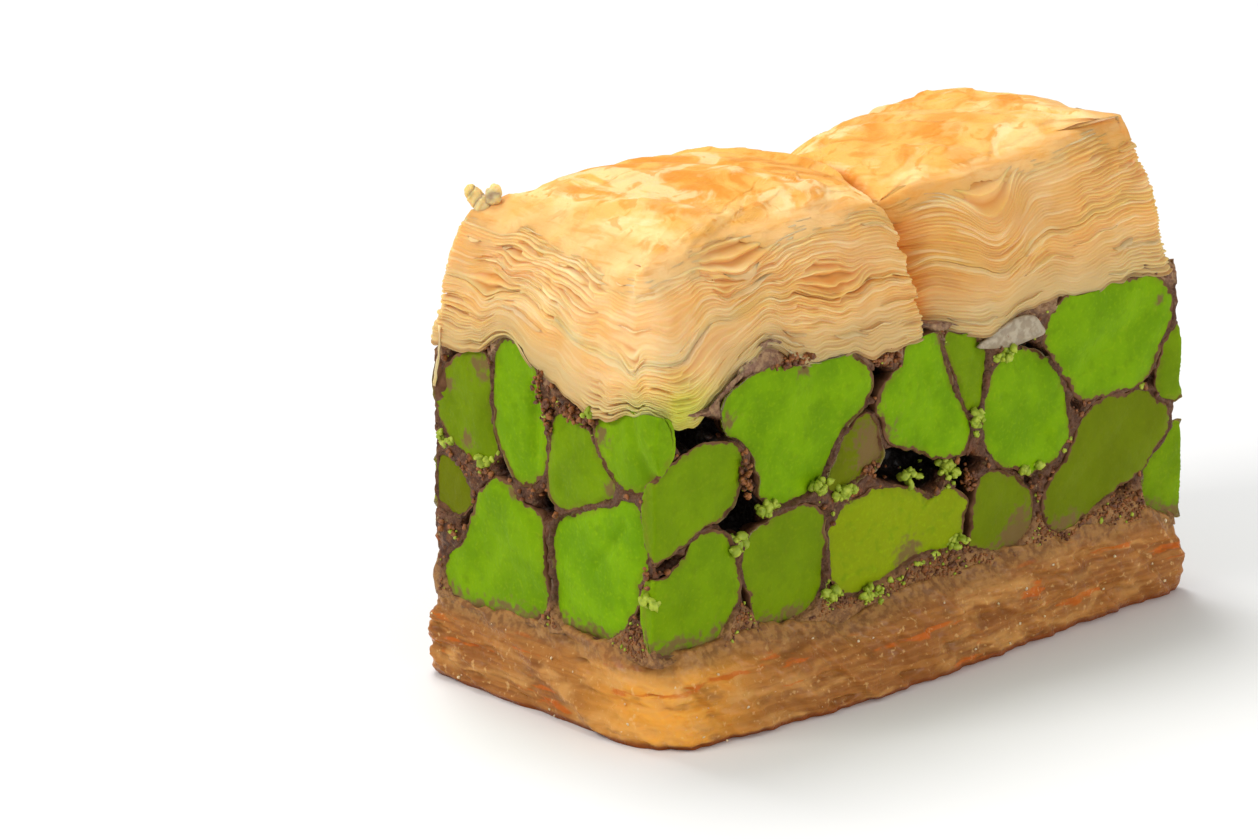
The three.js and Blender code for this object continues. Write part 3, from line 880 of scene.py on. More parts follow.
def build_base(material):
    """The soaked bottom pastry: its foot, its torn side and the ledge that the kernels stand on."""
    rim = Rim(BASE_RADII, BASE_STEP)
    top = base_top(rim.x, rim.y) - 0.1
    base = Rings("foot", "ledge")
    for inset in (2.5 * FOOT_ROUND, FOOT_ROUND):
        base.add(rim.ring(*base_side(rim, 0.0), 0.0, -inset), 1, 0)
    for i in range(BASE_ROWS):
        share = ((i + 0.35) / BASE_ROWS) ** 1.15
        z = share * top
        x, y = base_side(rim, share)
        out = base_relief(x, y, z) * smooth(share, 0, 0.08) * (1 - 0.7 * smooth(share, 0.7, 1))
        out = out - 0.8 * FOOT_ROUND * bump(share, 0.05) - LEDGE_INSET * smooth(share, 0.6, 1)
        base.add(rim.ring(x, y, z, out), 1 - smooth(share, 0.03, 0.09), smooth(share, 0.62, 1))
    for inset in LEDGE_RINGS:
        ring = rim.ring(*base_side(rim, 1.0), 0.0, -(LEDGE_INSET + inset))
        x, y = ring[:, 0], ring[:, 1]
        ring[:, 2] = base_top(x, y) - 0.1 + 0.4 * rough(x, y, 0, 1.3, 55)
        base.add(ring, 0, 1)
    points, triangles, values = base.shut((0, 0, 0), (0, 0, BASE_TOP - 0.3), (1, 0), (0, 1))
    # painted glow round the front left corner
    painted_glow = bump(np.hypot(*(points[:, :2] - AMBER_AT).T), AMBER_REACH)
    skin = Skin().add(points, triangles, **values, painted_glow=painted_glow)
    skin.build("soaked_base", material, "soaked_pastry", "bottom_pastry")
    return rim


# ---------------------------------------------------------------- filling: kernels

SEGMENTS = 128
ANGLES = np.linspace(0, 2 * np.pi, SEGMENTS, endpoint=False)
COS, SIN = np.cos(ANGLES), np.sin(ANGLES)
HALF_ROUND = HALF_LENGTH + HALF_DEPTH
# Where each face's middle is on a line that runs round the bar from the middle of the front
STARTS = (0, -HALF_ROUND, 2 * HALF_ROUND, HALF_ROUND)

# Kernels that the knife opened: dullness of the green, or yellow if below 0, then the corners of the
# cut's outline, each a place along the face and up. An outline that passes a corner of the bar shows
# on both faces.
CUTS = {
    FRONT: (
        (0.45, (-31.6, 22.4), (-29.6, 23.2), (-26.2, 24.4), (-22.6, 24.4), (-20.9, 23.2),
         (-21.1, 21.4), (-22.6, 18.9), (-25.6, 18.0), (-29.0, 17.0), (-31.6, 17.6)),
        (0.35, (-31.8, 15.0), (-29.6, 14.6), (-27.2, 15.0), (-25.6, 17.1), (-24.0, 17.6),
         (-22.6, 16.6), (-21.4, 14.0), (-20.9, 12.4), (-21.8, 10.4), (-23.6, 8.6), (-26.6, 8.1),
         (-29.4, 8.8), (-31.8, 10.4)),
        (0.1, (-22.4, 26.0), (-20.4, 28.6), (-16.6, 29.5), (-13.8, 28.8), (-11.2, 29.6),
         (-7.6, 28.0), (-6.1, 25.4), (-8.6, 23.2), (-10.4, 20.0), (-12.6, 18.8), (-17.6, 18.6),
         (-17.8, 21.8), (-19.4, 24.4)),
        (0.55, (-19.6, 15.0), (-17.6, 16.2), (-14.4, 17.0), (-12.2, 16.5), (-11.0, 14.6),
         (-10.9, 12.6), (-11.4, 10.4), (-12.8, 8.8), (-15.8, 8.2), (-18.2, 8.8), (-18.8, 11.4),
         (-19.7, 13.2)),
        (-0.8, (-10.2, 15.4), (-6.6, 16.3), (-4.4, 16.5), (-1.6, 15.8), (1.4, 14.3), (2.9, 15.4),
         (4.1, 15.1), (4.2, 12.2), (3.6, 10.2), (0.4, 10.7), (-2.8, 10.0), (-5.6, 9.2), (-9.6, 9.4)),
        (1.0, (-10.3, 20.2), (-8.6, 22.8), (-5.6, 23.3), (-4.9, 19.8), (-6.4, 18.9), (-10.0, 18.2)),
        (0.05, (-5.2, 24.4), (-3.6, 25.8), (-1.9, 26.6), (-1.7, 28.2), (-0.2, 28.9), (2.3, 28.5),
         (2.4, 27.2), (4.9, 21.5), (6.2, 19.8), (5.8, 18.8), (3.2, 18.6), (1.0, 19.2), (-1.0, 20.2),
         (-3.6, 21.0), (-4.6, 22.4)),
        (0.5, (2.7, 28.7), (4.6, 28.3), (6.6, 26.9), (7.3, 25.6), (6.8, 22.8), (6.5, 21.4),
         (5.3, 21.6), (2.9, 27.0)),
        (0.1, (8.7, 24.0), (9.8, 24.9), (12.4, 24.7), (14.6, 23.4), (16.0, 21.4), (16.6, 19.0),
         (16.3, 17.0), (15.0, 15.5), (13.4, 15.0), (10.8, 15.4), (9.0, 16.8), (7.8, 19.2),
         (7.9, 22.2)),
        (0.8, (6.7, 14.4), (7.8, 15.2), (9.6, 14.9), (11.4, 13.6), (12.4, 11.8), (12.2, 10.0),
         (10.8, 8.8), (8.2, 9.2), (6.0, 10.3), (6.3, 12.6)),
        (0.1, (13.9, 25.9), (16.4, 27.8), (17.2, 29.0), (19.2, 29.3), (22.6, 28.6), (25.6, 28.4),
         (27.6, 27.8), (28.6, 26.0), (28.4, 23.6), (27.2, 21.6), (25.2, 19.9), (20.6, 19.9),
         (18.6, 20.6), (16.9, 22.2), (16.0, 24.2)),
        (0.85, (15.0, 12.8), (17.8, 15.0), (19.6, 17.8), (21.6, 18.9), (25.6, 18.5), (28.6, 17.0),
         (29.6, 15.8), (28.2, 13.8), (25.6, 12.2), (22.8, 11.3), (20.4, 10.2), (17.0, 9.0),
         (15.1, 9.8), (14.7, 11.6)),
        (0.4, (26.9, 10.8), (28.2, 13.0), (30.4, 15.0), (32.0, 14.2), (32.2, 9.0), (30.2, 7.4),
         (27.4, 8.2)),
        (0.5, (28.0, 18.4), (28.4, 20.8), (29.3, 22.8), (31.6, 23.4), (32.0, 18.8), (29.8, 17.6)),
    ),
    LEFT: (
        (0.6, (-12.8, 24.4), (-11.2, 27.0), (-8.8, 28.5), (-6.9, 28.6), (-6.7, 25.8), (-6.5, 22.6),
         (-5.6, 21.2), (-8.6, 20.4), (-11.6, 22.0)),
        (0.1, (-6.2, 28.2), (-5.4, 30.0), (-4.0, 30.5), (-2.4, 29.6), (-1.0, 27.4), (-0.3, 24.0),
         (-0.3, 21.4), (-1.2, 20.2), (-3.6, 19.8), (-5.2, 21.8), (-6.1, 24.2)),
        (0.4, (1.8, 25.6), (3.0, 26.0), (5.4, 24.6), (7.4, 22.4), (8.7, 21.0), (6.4, 20.2),
         (3.4, 18.9), (1.4, 18.9), (0.8, 20.6), (1.3, 23.0)),
        (0.2, (6.3, 26.0), (8.4, 27.6), (11.0, 28.4), (13.4, 28.8), (15.4, 28.2), (16.0, 26.6),
         (15.2, 25.0), (13.4, 23.8), (11.9, 22.3), (10.2, 21.7), (8.6, 22.6), (7.0, 24.2)),
        (0.15, (-12.6, 9.6), (-9.4, 12.4), (-8.4, 14.6), (-7.2, 17.0), (-5.2, 18.4), (-4.2, 18.5),
         (-3.4, 17.0), (-1.6, 16.8), (-0.6, 15.6), (0.1, 13.4), (0.4, 11.6), (0.0, 9.4), (-2.2, 8.0),
         (-6.0, 7.6), (-10.8, 8.2)),
        (0.0, (0.9, 15.6), (2.6, 17.0), (5.0, 18.3), (8.2, 19.1), (9.2, 20.7), (10.6, 21.0),
         (11.8, 19.6), (12.2, 17.4), (11.6, 15.0), (10.8, 13.0), (9.6, 10.8), (7.6, 9.0), (4.8, 8.0),
         (2.2, 8.6), (1.2, 10.4)),
        (1.0, (-13.4, 18.2), (-11.4, 18.6), (-9.4, 16.4), (-11.2, 14.8), (-13.4, 15.4)),
    ),
}
ROW_HEIGHTS = (13.2, 23.6)
KERNEL_SPACING = 11.2
KERNEL_TALL = 9.8
END_MARGIN = 1.2  # how far from a corner of the bar the unseen kernels and the crumbs keep
BLUNTING = 6  # how many points to each side round off the corners of a cut
HALF_SEAM = 0.06  # half the gap where two kernels meet
OUTLINE_GROWTH = 0.36  # the outlines are of the green; the brown skin is this wide round them


def rounded(corners):
    """A closed smooth curve through the corners of an outline."""
    before, here, after, beyond = (np.roll(corners, -k, 0) for k in range(-1, 3))
    t = np.linspace(0, 1, 12, endpoint=False)[:, None, None]
    curve = here + t / 2 * (after - before) + t**2 * (before - 2.5 * here + 2 * after - beyond / 2)
    curve = curve + t**3 * (1.5 * (here - after) + (beyond - before) / 2)
    return curve.reshape(-1, 2)


class Kernel:
    """A cut kernel: its face, the middle of its cut, and the cut's radius in each direction."""

    def __init__(self, face, dull, corners):
        curve = rounded(np.array(corners))
        away = curve - curve.mean(0)
        curve = curve + OUTLINE_GROWTH * away / np.hypot(*away.T)[:, None]
        self.face, self.dull = face, dull
        self.along, self.up = middle = curve.mean(0)
        side, rise = (curve - middle).T
        angle = np.arctan2(rise, side)
        order = np.argsort(angle)
        self.radii = np.interp(ANGLES, angle[order], np.hypot(side, rise)[order], period=2 * np.pi)

    def beyond(self, place, up):
        """How far a spot on the line round the bar, and up, is outside the cut, or inside if negative."""
        side = place - self.along - STARTS[self.face]
        side = (side + 2 * HALF_ROUND) % (4 * HALF_ROUND) - 2 * HALF_ROUND
        rise = up - self.up
        radius = np.interp(np.arctan2(rise, side), ANGLES, self.radii, period=2 * np.pi)
        return np.hypot(side, rise) - radius

    def give_way(self, others):
        """The radii, cut short wherever another kernel is nearer."""
        radius = np.linspace(0.2, 1.1, 70)[:, None] * self.radii
        place, up = self.along + STARTS[self.face] + radius * COS, self.up + radius * SIN
        nearest = np.min([other.beyond(place, up) for other in others], 0)
        free = np.cumprod(nearest - (radius - self.radii) > 2 * HALF_SEAM, 0).sum(0)
        return radius[np.maximum(free - 1, 0), np.arange(SEGMENTS)]


class Drawer:
    """The solids' own repeatable random numbers, so that the unseen kernels match."""

    def __init__(self, seed):
        self.state = seed

    def spread(self):
        self.state = (self.state * 1664525 + 1013904223) % 2**32
        return 2 * (self.state / 2**32) - 1


def kernel_rows(face, drawer):
    """Kernels side by side in two rows along an unseen face."""
    span = 2 * (HALF_ROUND - REACHES[face])
    count = int(span / KERNEL_SPACING + 0.5)
    for height in ROW_HEIGHTS:
        shares = [1 + 0.28 * drawer.spread() for _ in range(count)]
        start = END_MARGIN - span / 2
        for share in shares:
            width = (span - 2 * END_MARGIN) * share / sum(shares)
            start += width
            lift, tall, turn, taper = (drawer.spread() for _ in range(4))
            turn = np.radians(25 * turn + np.arange(0, 360, 36))
            across = (width - 0.2) / 2 * np.cos(turn)
            upright = (KERNEL_TALL + tall) / 2 * np.sin(turn)
            along = start - width / 2 + across * (1 + 0.04 * taper * upright)
            yield Kernel(face, 0.4 + 0.3 * taper, np.stack([along, height + lift + upright], -1))


def all_kernels():
    """The kernels of all faces, fitted to one another."""
    drawer = Drawer(7)
    kernels = [Kernel(face, dull, corners) for face, dull, *corners in each(CUTS)]
    kernels += [*kernel_rows(BACK, drawer), *kernel_rows(RIGHT, drawer)]
    shortened = [one.give_way([other for other in kernels if other is not one]) for one in kernels]
    for kernel, radii in zip(kernels, shortened):
        blunt = sum(np.roll(radii, k) for k in range(-BLUNTING, BLUNTING + 1)) / (2 * BLUNTING + 1)
        kernel.radii = np.minimum(radii, blunt + 0.02)
    return kernels


KERNELS = all_kernels()


def turned(along, depth, up, face):
    """Points given along a face, in from the knife's plane and up, in the bar's frame."""
    out_x, out_y = OUTWARD[face]
    out = REACHES[face] - depth
    x, y, z = np.broadcast_arrays(out * out_x - along * out_y, along * out_x + out * out_y, up)
    return np.stack([x, y, z], -1)


DISC_RINGS = 16
EDGE_RINGS = 3
BOWL_RINGS = 4
EDGE_ROUND = 0.2
SKIN_WIDE = 0.08
DOME = 0.22  # how far a cut falls back towards its edge
RIM_WIDE = 0.9  # width of the paler band inside a kernel's edge
KERNEL_DEEP = 5.7
WRAP_DEEP = 2.4  # depth of a kernel that shows on both sides of a corner of the bar
HEART_DEPTH = 3.0
HEART_MARGIN = 2.0  # how far inside the bar a kernel's heart is
RIGHT_PROUD = 0.7  # how far the lower kernels stand out at the right end
# Brown stains on the cuts: place along the face and up, radius
STAINS = {
    FRONT: (
        (11.6, 10.6, 1.5), (-5.8, 21.4, 2.4), (-5.2, 19.6, 1.6), (-13.4, 29.0, 0.8),
        (-1.4, 10.6, 1.6), (2.2, 28.4, 0.7), (27.9, 26.6, 0.6), (-21.6, 26.4, 0.9),
    ),
    LEFT: (
        (-7.6, 28.2, 1.3), (-11.6, 25.6, 0.7), (-9.2, 21.4, 0.9), (8.0, 21.2, 0.9),
        (7.0, 25.6, 0.9), (-3.9, 18.2, 0.7),
    ),
}
# Folds in the cuts: both ends (place along the face and up), depth and half width
CREASES = {
    LEFT: (
        (9.8, 18.4, 6.2, 14.4, 0.3, 0.5), (-1.6, 28.0, -1.2, 22.0, 0.35, 0.5),
        (10.4, 27.6, 12.4, 23.4, 0.3, 0.6), (-9.0, 9.4, -4.6, 14.0, 0.15, 0.9),
    ),
    FRONT: (
        (9.6, 21.6, 14.6, 17.0, 0.2, 0.8), (-0.4, 27.6, 1.6, 22.2, 0.15, 0.6),
        (19.6, 23.0, 26.6, 25.8, 0.2, 1.0), (-17.4, 27.0, -9.4, 24.6, 0.15, 1.0),
        (17.2, 11.6, 24.6, 16.6, 0.2, 1.0),
    ),
}


def folded(face, along, up):
    """How deep the folds in the cuts are at each spot of a face."""
    deep = 0
    for x1, z1, x2, z2, depth, width in CREASES.get(face, ()):
        run, rise = x2 - x1, z2 - z1
        share = np.clip(((along - x1) * run + (up - z1) * rise) / (run**2 + rise**2), 0, 1)
        deep = deep + depth * bump(np.hypot(along - x1 - share * run, up - z1 - share * rise), width)
    return deep


def kernel_rings(kernel, seed):
    """A cut kernel's rings from the middle of its cut to its back: along, depth, up, skin and rim."""
    side, rise = kernel.radii * COS, kernel.radii * SIN
    outline = kernel.radii + 0.22 * noise(side, rise, 0, 1.3, seed)
    outline = outline + 0.18 * noise(side, rise, 0, 0.6, seed + 1)
    flat = outline - EDGE_ROUND
    rows = []  # radius, depth, skin and how much of the cut's unevenness each ring has
    for i in range(DISC_RINGS):
        inner = ((i + 1) / DISC_RINGS) ** 0.85 * flat
        rows.append((inner, DOME * (inner / flat) ** 5, smooth(inner, flat - SKIN_WIDE, flat + 0.05), 1))
    for i in range(EDGE_RINGS):
        turn_in = np.pi / 2 * (i + 1) / EDGE_RINGS
        sunk = DOME + EDGE_ROUND * (1 - np.cos(turn_in))
        rows.append((flat + EDGE_ROUND * np.sin(turn_in), sunk, 1, 1 - (i + 1) / EDGE_RINGS))
    wraps = np.abs(kernel.along + outline * COS).max() > HALF_ROUND - REACHES[kernel.face]
    back = WRAP_DEEP if wraps else KERNEL_DEEP
    for i in range(BOWL_RINGS):
        sunk = mix(DOME + EDGE_ROUND, back, (i + 1) / (BOWL_RINGS + 0.6))
        rows.append((outline * np.sqrt(1 - (sunk / back) ** 2), sunk, 1, 0))
    radius, depth, skin, cut = np.swapaxes([np.broadcast_arrays(*row) for row in rows], 0, 1)
    side, tall = radius * COS, radius * SIN
    uneven = 0.3 * noise(side, tall, 0, 3.4, seed + 2) + 0.06 * noise(side, tall, 0, 0.8, seed + 3)
    tilt = 0.04 * noise(seed, 0, 0, 1, 60) * side + 0.04 * noise(seed, 5, 0, 1, 61) * tall
    folds = folded(kernel.face, kernel.along + side, kernel.up + tall)
    sunk = 0.25 * (1 + noise(seed, 9, 0, 1, 62))
    depth = depth + cut * (uneven + tilt + 0.05 + sunk + folds)
    rim = smooth(radius, outline - RIM_WIDE, outline)
    return kernel.along + side, depth, kernel.up + tall, skin, rim, back


def trimmed(points, heart):
    """Points pulled towards the kernel's heart until none is outside the knife's planes."""
    share = np.ones(points.shape[:-1])
    for axis, reach in ((0, HALF_LENGTH - CUT_SETBACK), (1, HALF_DEPTH - CUT_SETBACK)):
        for side in (-1, 1):
            run = (points[..., axis] - heart[axis]) * side
            proud = RIGHT_PROUD * (1 - smooth(points[..., 2], 17, 19)) if (axis, side) == (0, 1) else 0
            room = reach + proud - side * heart[axis]
            share = np.minimum(share, np.where(run > room, room / np.maximum(run, 1e-6), 1))
    return heart + (points - heart) * share[..., None], share


def stains(face, along, up):
    """How stained with brown each spot of a face is: here and there, and close to the base."""
    near = (bump(np.hypot(along - x, up - z), radius) for x, z, radius in STAINS.get(face, ()))
    x, y, z = np.moveaxis(turned(along, 0, up, face), -1, 0)
    foot = 0.75 * (1 - smooth(z - base_top(x, y) + 0.9 * rough(x, y, z, 2.4, 92), 0.2, 1.9))
    return np.clip(sum(near, foot), 0, 1)


def build_kernels(material):
    """The cut kernels, each a bowl behind its cut, in one piece for two faces."""
    inner = np.array([HALF_LENGTH - HEART_MARGIN, HALF_DEPTH - HEART_MARGIN, 2 * EDGE_TOP])
    for name, faces, replaces in (
        ("kernels_front_left", (FRONT, LEFT), "pistachio_filling"),
        ("kernels_back_right", (BACK, RIGHT), None),
    ):
        piece = Skin()
        for number, kernel in enumerate(KERNELS):
            face = kernel.face
            if face not in faces:
                continue
            along, depth, up, skin, rim, back = kernel_rings(kernel, 100 + 4 * number)
            heart = turned(kernel.along, CUT_SETBACK + HEART_DEPTH, kernel.up, face).clip(-inner, inner)
            rings, share = trimmed(turned(along, CUT_SETBACK + depth, up, face), heart)
            x, y, z = np.moveaxis(rings, -1, 0)
            rings[..., 2] = np.clip(z, base_top(x, y) - 0.3, filling_top(x, y) - 0.1)
            last, _ = trimmed(turned(kernel.along, CUT_SETBACK + back, kernel.up, face), heart)
            points, triangles = ringed(rings, rings[0].mean(0), last)
            piece.add(
                points,
                triangles[:, ::-1],
                skin=np.append(skin * smooth(share, 0.9, 0.99), [0, 1]),
                rim=np.append(rim, [0, 1]),
                stain=np.append(stains(face, along, up), [0, 0]),
                dull=kernel.dull,
            )
        piece.build(name, material, "pistachio", replaces)


# ---------------------------------------------------------------- filling: core and crumbs

CORE_STEP = 0.25
CORE_ROWS = 80
CORE_RADII = (1.0, 0.8, 0.8, 0.8)  # vertical corners, in the same order
GAP_RECESS = 0.6
# Open holes between the kernels: place along the face and up, half width, half height, turn, depth
HOLES = {
    FRONT: (
        (-20.2, 18.2, 3.0, 1.9, -10, 4.5), (-25.0, 26.0, 3.4, 1.5, -6, 4.0),
        (-1.2, 18.0, 5.2, 1.7, -20, 5.0), (5.2, 13.4, 1.2, 3.2, 4, 5.0),
        (5.6, 16.7, 1.8, 1.0, -10, 4.0), (-5.0, 26.4, 1.6, 1.4, -20, 3.0),
        (-6.6, 23.9, 1.8, 0.4, 18, 2.0), (-28.5, 15.9, 1.7, 0.5, 8, 2.4),
        (-19.3, 10.7, 1.5, 0.5, -45, 2.4), (13.2, 25.2, 2.8, 0.5, -34, 2.4),
        (7.4, 28.0, 1.5, 0.4, -8, 2.4), (12.8, 13.8, 0.8, 0.4, -20, 2.0),
        (18.2, 19.3, 0.9, 0.3, -35, 2.0), (27.0, 19.7, 0.8, 0.8, -30, 1.6),
        (24.0, 10.8, 1.4, 0.6, 0, 1.0), (-19.0, 21.6, 0.9, 1.5, 0, 2.2),
    ),
    LEFT: (
        (-11.0, 28.1, 1.1, 0.7, 0, 2.6), (-5.0, 19.8, 1.4, 0.7, 0, 3.4),
        (-0.2, 17.9, 1.3, 1.3, -30, 3.6), (3.4, 27.4, 2.4, 0.7, -26, 2.8),
        (5.7, 27.3, 0.8, 0.6, 0, 1.6), (11.9, 11.8, 1.1, 0.9, 0, 3.0),
        (-9.6, 14.6, 1.4, 0.5, 50, 2.4),
    ),
    BACK: ((-11.0, 18.4, 2.4, 1.2, -10, 3.4), (9.0, 18.0, 2.8, 1.3, 12, 3.6)),
    RIGHT: ((2.0, 18.4, 2.2, 1.2, 0, 3.2),),
}


def hole_depth(place, up):
    """How deep the open holes are at a spot on the line round the bar, and up."""
    deep = np.zeros(np.shape(place * up))
    for face, along, height, wide, tall, turn, depth in each(HOLES):
        side, rise = place - along - STARTS[face], up - height
        cos, sin = np.cos(np.radians(turn)), np.sin(np.radians(turn))
        share = np.hypot((side * cos + rise * sin) / wide, (rise * cos - side * sin) / tall)
        share = share + 0.25 * noise(place, up, 0, 0.9, 78)
        deep = np.maximum(deep, depth * (1 - smooth(share, 0.6, 1.15)))
    return deep


def core_inset(x, y, z, place):
    """How far crumbs and skins stand back from the knife's plane, and the nearest kernel's distance."""
    gap = np.min([kernel.beyond(place, z) for kernel in KERNELS], 0)
    grains = 0.3 * rough(x, y, z, 2.0, 70) + 0.4 * rough(x, y, z, 0.8, 73)
    skins = 0.55 + 0.4 * noise(x, y, z, 0.8, 76)
    inset = mix(GAP_RECESS + grains, skins, 0.85 * bump(gap - 0.16, 0.2))
    low = 1 - smooth(z - base_top(x, y), 0.5, 2.4)
    high = 1 - smooth(filling_top(x, y) - z, 0.2, 1.2)
    inset = mix(inset, CUT_SETBACK + 0.15 + 0.25 * rough(x, y, z, 1.2, 74), low) + 0.4 * high
    inset = inset + 1.6 * smooth(-gap, 0.0, 0.9) + hole_depth(place, z)
    return np.maximum(inset, 0.12), gap


def place_round(rim):
    """Where each point of a rim is on the line round the bar from the middle of the front."""
    on_long_side = np.where(rim.y < 0, rim.x, 2 * HALF_ROUND - rim.x)
    on_short_side = np.where(rim.x < 0, -HALF_ROUND - rim.y, HALF_ROUND + rim.y)
    return np.where(np.abs(rim.out_y) > np.abs(rim.out_x), on_long_side, on_short_side)


def build_core(material):
    """The skins and crumbs between the kernels, with the open holes."""
    rim = Rim(CORE_RADII, CORE_STEP)
    share = np.linspace(0, 1, CORE_ROWS + 1)[:, None]
    bottom, top = base_top(rim.x, rim.y), filling_top(rim.x, rim.y)
    z = mix(bottom - 0.8, top + 0.5, share)
    x, y, place = (np.broadcast_to(row, z.shape) for row in (rim.x, rim.y, place_round(rim)))
    inset, gap = core_inset(x, y, z, place)
    points, triangles = ringed(rim.ring(x, y, z, -inset), (0, 0, BASE_TOP - 0.5), (0, 0, FILLING_TOP))
    values = {
        # how deep the gaps lie, for the painted shade
        "hollow": inset - GAP_RECESS - 0.3,
        "border": 1 - smooth(gap, 0.25, 0.8),
        "low": 1 - smooth(z - bottom + 0.5 * rough(x, y, z, 1.5, 79), 0.6, 2.4),
        "high": 1 - smooth(top - z + 0.5 * rough(x, y, z, 1.5, 77), 0.5, 2.0),
    }
    skin = Skin().add(points, triangles, **{name: np.append(rows, [0, 0]) for name, rows in values.items()})
    skin.build("nut_core", material, "pistachio")


def grain_shape(detail):
    """A ball of triangles to make crumbs from."""
    ball = bmesh.new()
    bmesh.ops.create_icosphere(ball, subdivisions=detail, radius=1)
    points = np.array([v.co for v in ball.verts])
    triangles = np.array([[v.index for v in f.verts] for f in ball.faces])
    ball.free()
    return points, triangles


FINE = 0.17  # radius below which a crumb has fewer triangles
GRIT = grain_shape(1)
CRUMB = grain_shape(2)
CHUNK = grain_shape(4)


def add_grain(skin, place, size, seed, shape=None, broken=1.0, **values):
    """One crumb: a ball, squeezed and broken by noise; size may differ by axis if its shape is given."""
    points, triangles = shape or (GRIT if size < FINE else CRUMB)
    x, y, z = points.T
    radius = 1 + broken * (0.5 * noise(x, y, z, 0.9, seed) + 0.28 * noise(x, y, z, 0.4, seed + 1))
    stretch = 1 + 0.4 * np.array([noise(seed, k, 0, 1, 80) for k in range(3)])
    skin.add(place + points * radius[:, None] * stretch * size, triangles, **values)


SEEDS = (1, 9999)  # range of the crumbs' seeds
CRUMB_TRIES = 2200
CRUMB_SIZES = (0.1, 0.26)
POWDER_SIZES = (0.06, 0.16)
SPRINKLED = 24
SPRINKLE_SIZES = (0.08, 0.24)
BIT_SIZES = (0.2, 0.42)
CLUSTER = 22  # grains for each square millimetre of a bit's half sizes
GRANULAR = 2.2  # height above the base of the band that is full of crumbs
# Bigger bits between the kernels: place along the face and up, half width, half height, depth
CHUNKS = {
    "nuts": {
        FRONT: (
            (-9.1, 17.6, 1.2, 0.6, 0.6), (-1.0, 17.1, 0.9, 0.6, 1.0), (3.4, 16.8, 0.8, 0.8, 1.0),
            (-20.8, 15.8, 0.9, 0.7, 0.8), (-17.6, 18.3, 1.0, 0.5, 0.6), (-11.6, 18.9, 0.9, 0.5, 0.5),
            (12.6, 15.0, 1.1, 0.35, 0.4), (9.3, 25.8, 1.0, 0.5, 0.4), (4.2, 10.4, 0.8, 0.6, 0.4),
            (-10.4, 9.2, 0.9, 0.7, 0.4), (-6.2, 8.4, 1.2, 0.5, 0.4), (6.3, 20.7, 0.5, 0.6, 0.4),
        ),
        LEFT: (
            (5.6, 27.2, 0.4, 0.4, 0.4), (-7.0, 20.2, 0.8, 0.5, 0.5), (13.0, 12.9, 0.4, 0.5, 0.3),
            (-12.2, 20.8, 0.9, 0.7, 0.7),
        ),
    },
    "skins": {
        FRONT: (
            (-4.2, 28.5, 1.8, 0.9, 0.7), (-5.6, 18.8, 0.9, 0.7, 1.0), (5.7, 15.4, 0.6, 0.9, 0.9),
            (-20.3, 21.7, 0.35, 2.0, 0.3), (-15.0, 30.2, 2.2, 0.5, 0.6),
        ),
        LEFT: (
            (4.2, 26.6, 2.0, 0.8, 0.5), (0.7, 25.6, 0.6, 1.3, 0.5), (-0.5, 28.0, 0.35, 1.5, 0.3),
            (-8.8, 19.2, 1.8, 0.7, 0.8), (12.5, 14.8, 0.4, 1.2, 0.4),
        ),
    },
}
# Spots where bright crumbs gather: place along the face and up
SPRINKLES = {
    FRONT: (
        (-19.6, 19.3), (-11.6, 18.4), (-5.3, 8.2), (-10.2, 10.2), (3.6, 16.4), (5.9, 20.6),
        (0.5, 10.0),
    ),
    LEFT: ((12.9, 12.2), (6.8, 25.2)),
}


def build_crumbs(green, brown):
    """Crumbs of nuts and of skins: all over the gaps, dense near the base, and in named spots."""
    draw = np.random.default_rng(5)
    kinds = {"nuts": Skin(), "skins": Skin()}

    def strew(face, along, up, size, nut_share):
        x, y, z = np.moveaxis(turned(along, 0, up, face), -1, 0)
        inset, gap = core_inset(x, y, z, along + STARTS[face])
        places = turned(along, inset - 0.3 * size, up, face)
        for i in np.flatnonzero((gap > 0.1) & (up < filling_top(x, y) - 0.3)):
            kind = "nuts" if draw.random() < nut_share else "skins"
            add_grain(kinds[kind], places[i], size[i], int(draw.integers(*SEEDS)))

    for face, reach in enumerate(REACHES):
        half = HALF_ROUND - reach - END_MARGIN
        tries = int(CRUMB_TRIES * half / HALF_LENGTH)
        along = draw.uniform(-half, half, tries)
        up = draw.uniform(BASE_TOP, FILLING_TOP + 0.5, tries)
        strew(face, along, up, draw.uniform(*CRUMB_SIZES, tries), 0.14)
        up = BASE_TOP + draw.uniform(-0.8, GRANULAR, tries)
        strew(face, along, up, draw.uniform(*POWDER_SIZES, tries), 0.08)
    for face, at, height in each(SPRINKLES):
        along = at + 0.9 * draw.normal(0, 1, SPRINKLED)
        up = height + 0.6 * draw.normal(0, 1, SPRINKLED)
        strew(face, along, up, draw.uniform(*SPRINKLE_SIZES, SPRINKLED), 1.0)
    for kind, more, scale in (("nuts", 1, 1), ("skins", 2, 0.6)):
        for face, along, up, wide, tall, depth in each(CHUNKS[kind]):
            for _ in range(int(CLUSTER * wide * tall * more) + 5):
                side, rise, sunk = draw.uniform(-1, 1, 3)
                height = up + tall * rise * (1 - side**2) ** 0.5
                place = turned(along + wide * side, depth + 0.4 * sunk, height, face)
                size = draw.uniform(*BIT_SIZES) * scale
                add_grain(kinds[kind], place, size, int(draw.integers(*SEEDS)))
    kinds["nuts"].build("nut_crumbs", green, "pistachio")
    kinds["skins"].build("skin_crumbs", brown, "pistachio")


SUGAR_COUNT = 70
SUGAR_SIZES = (0.07, 0.17)


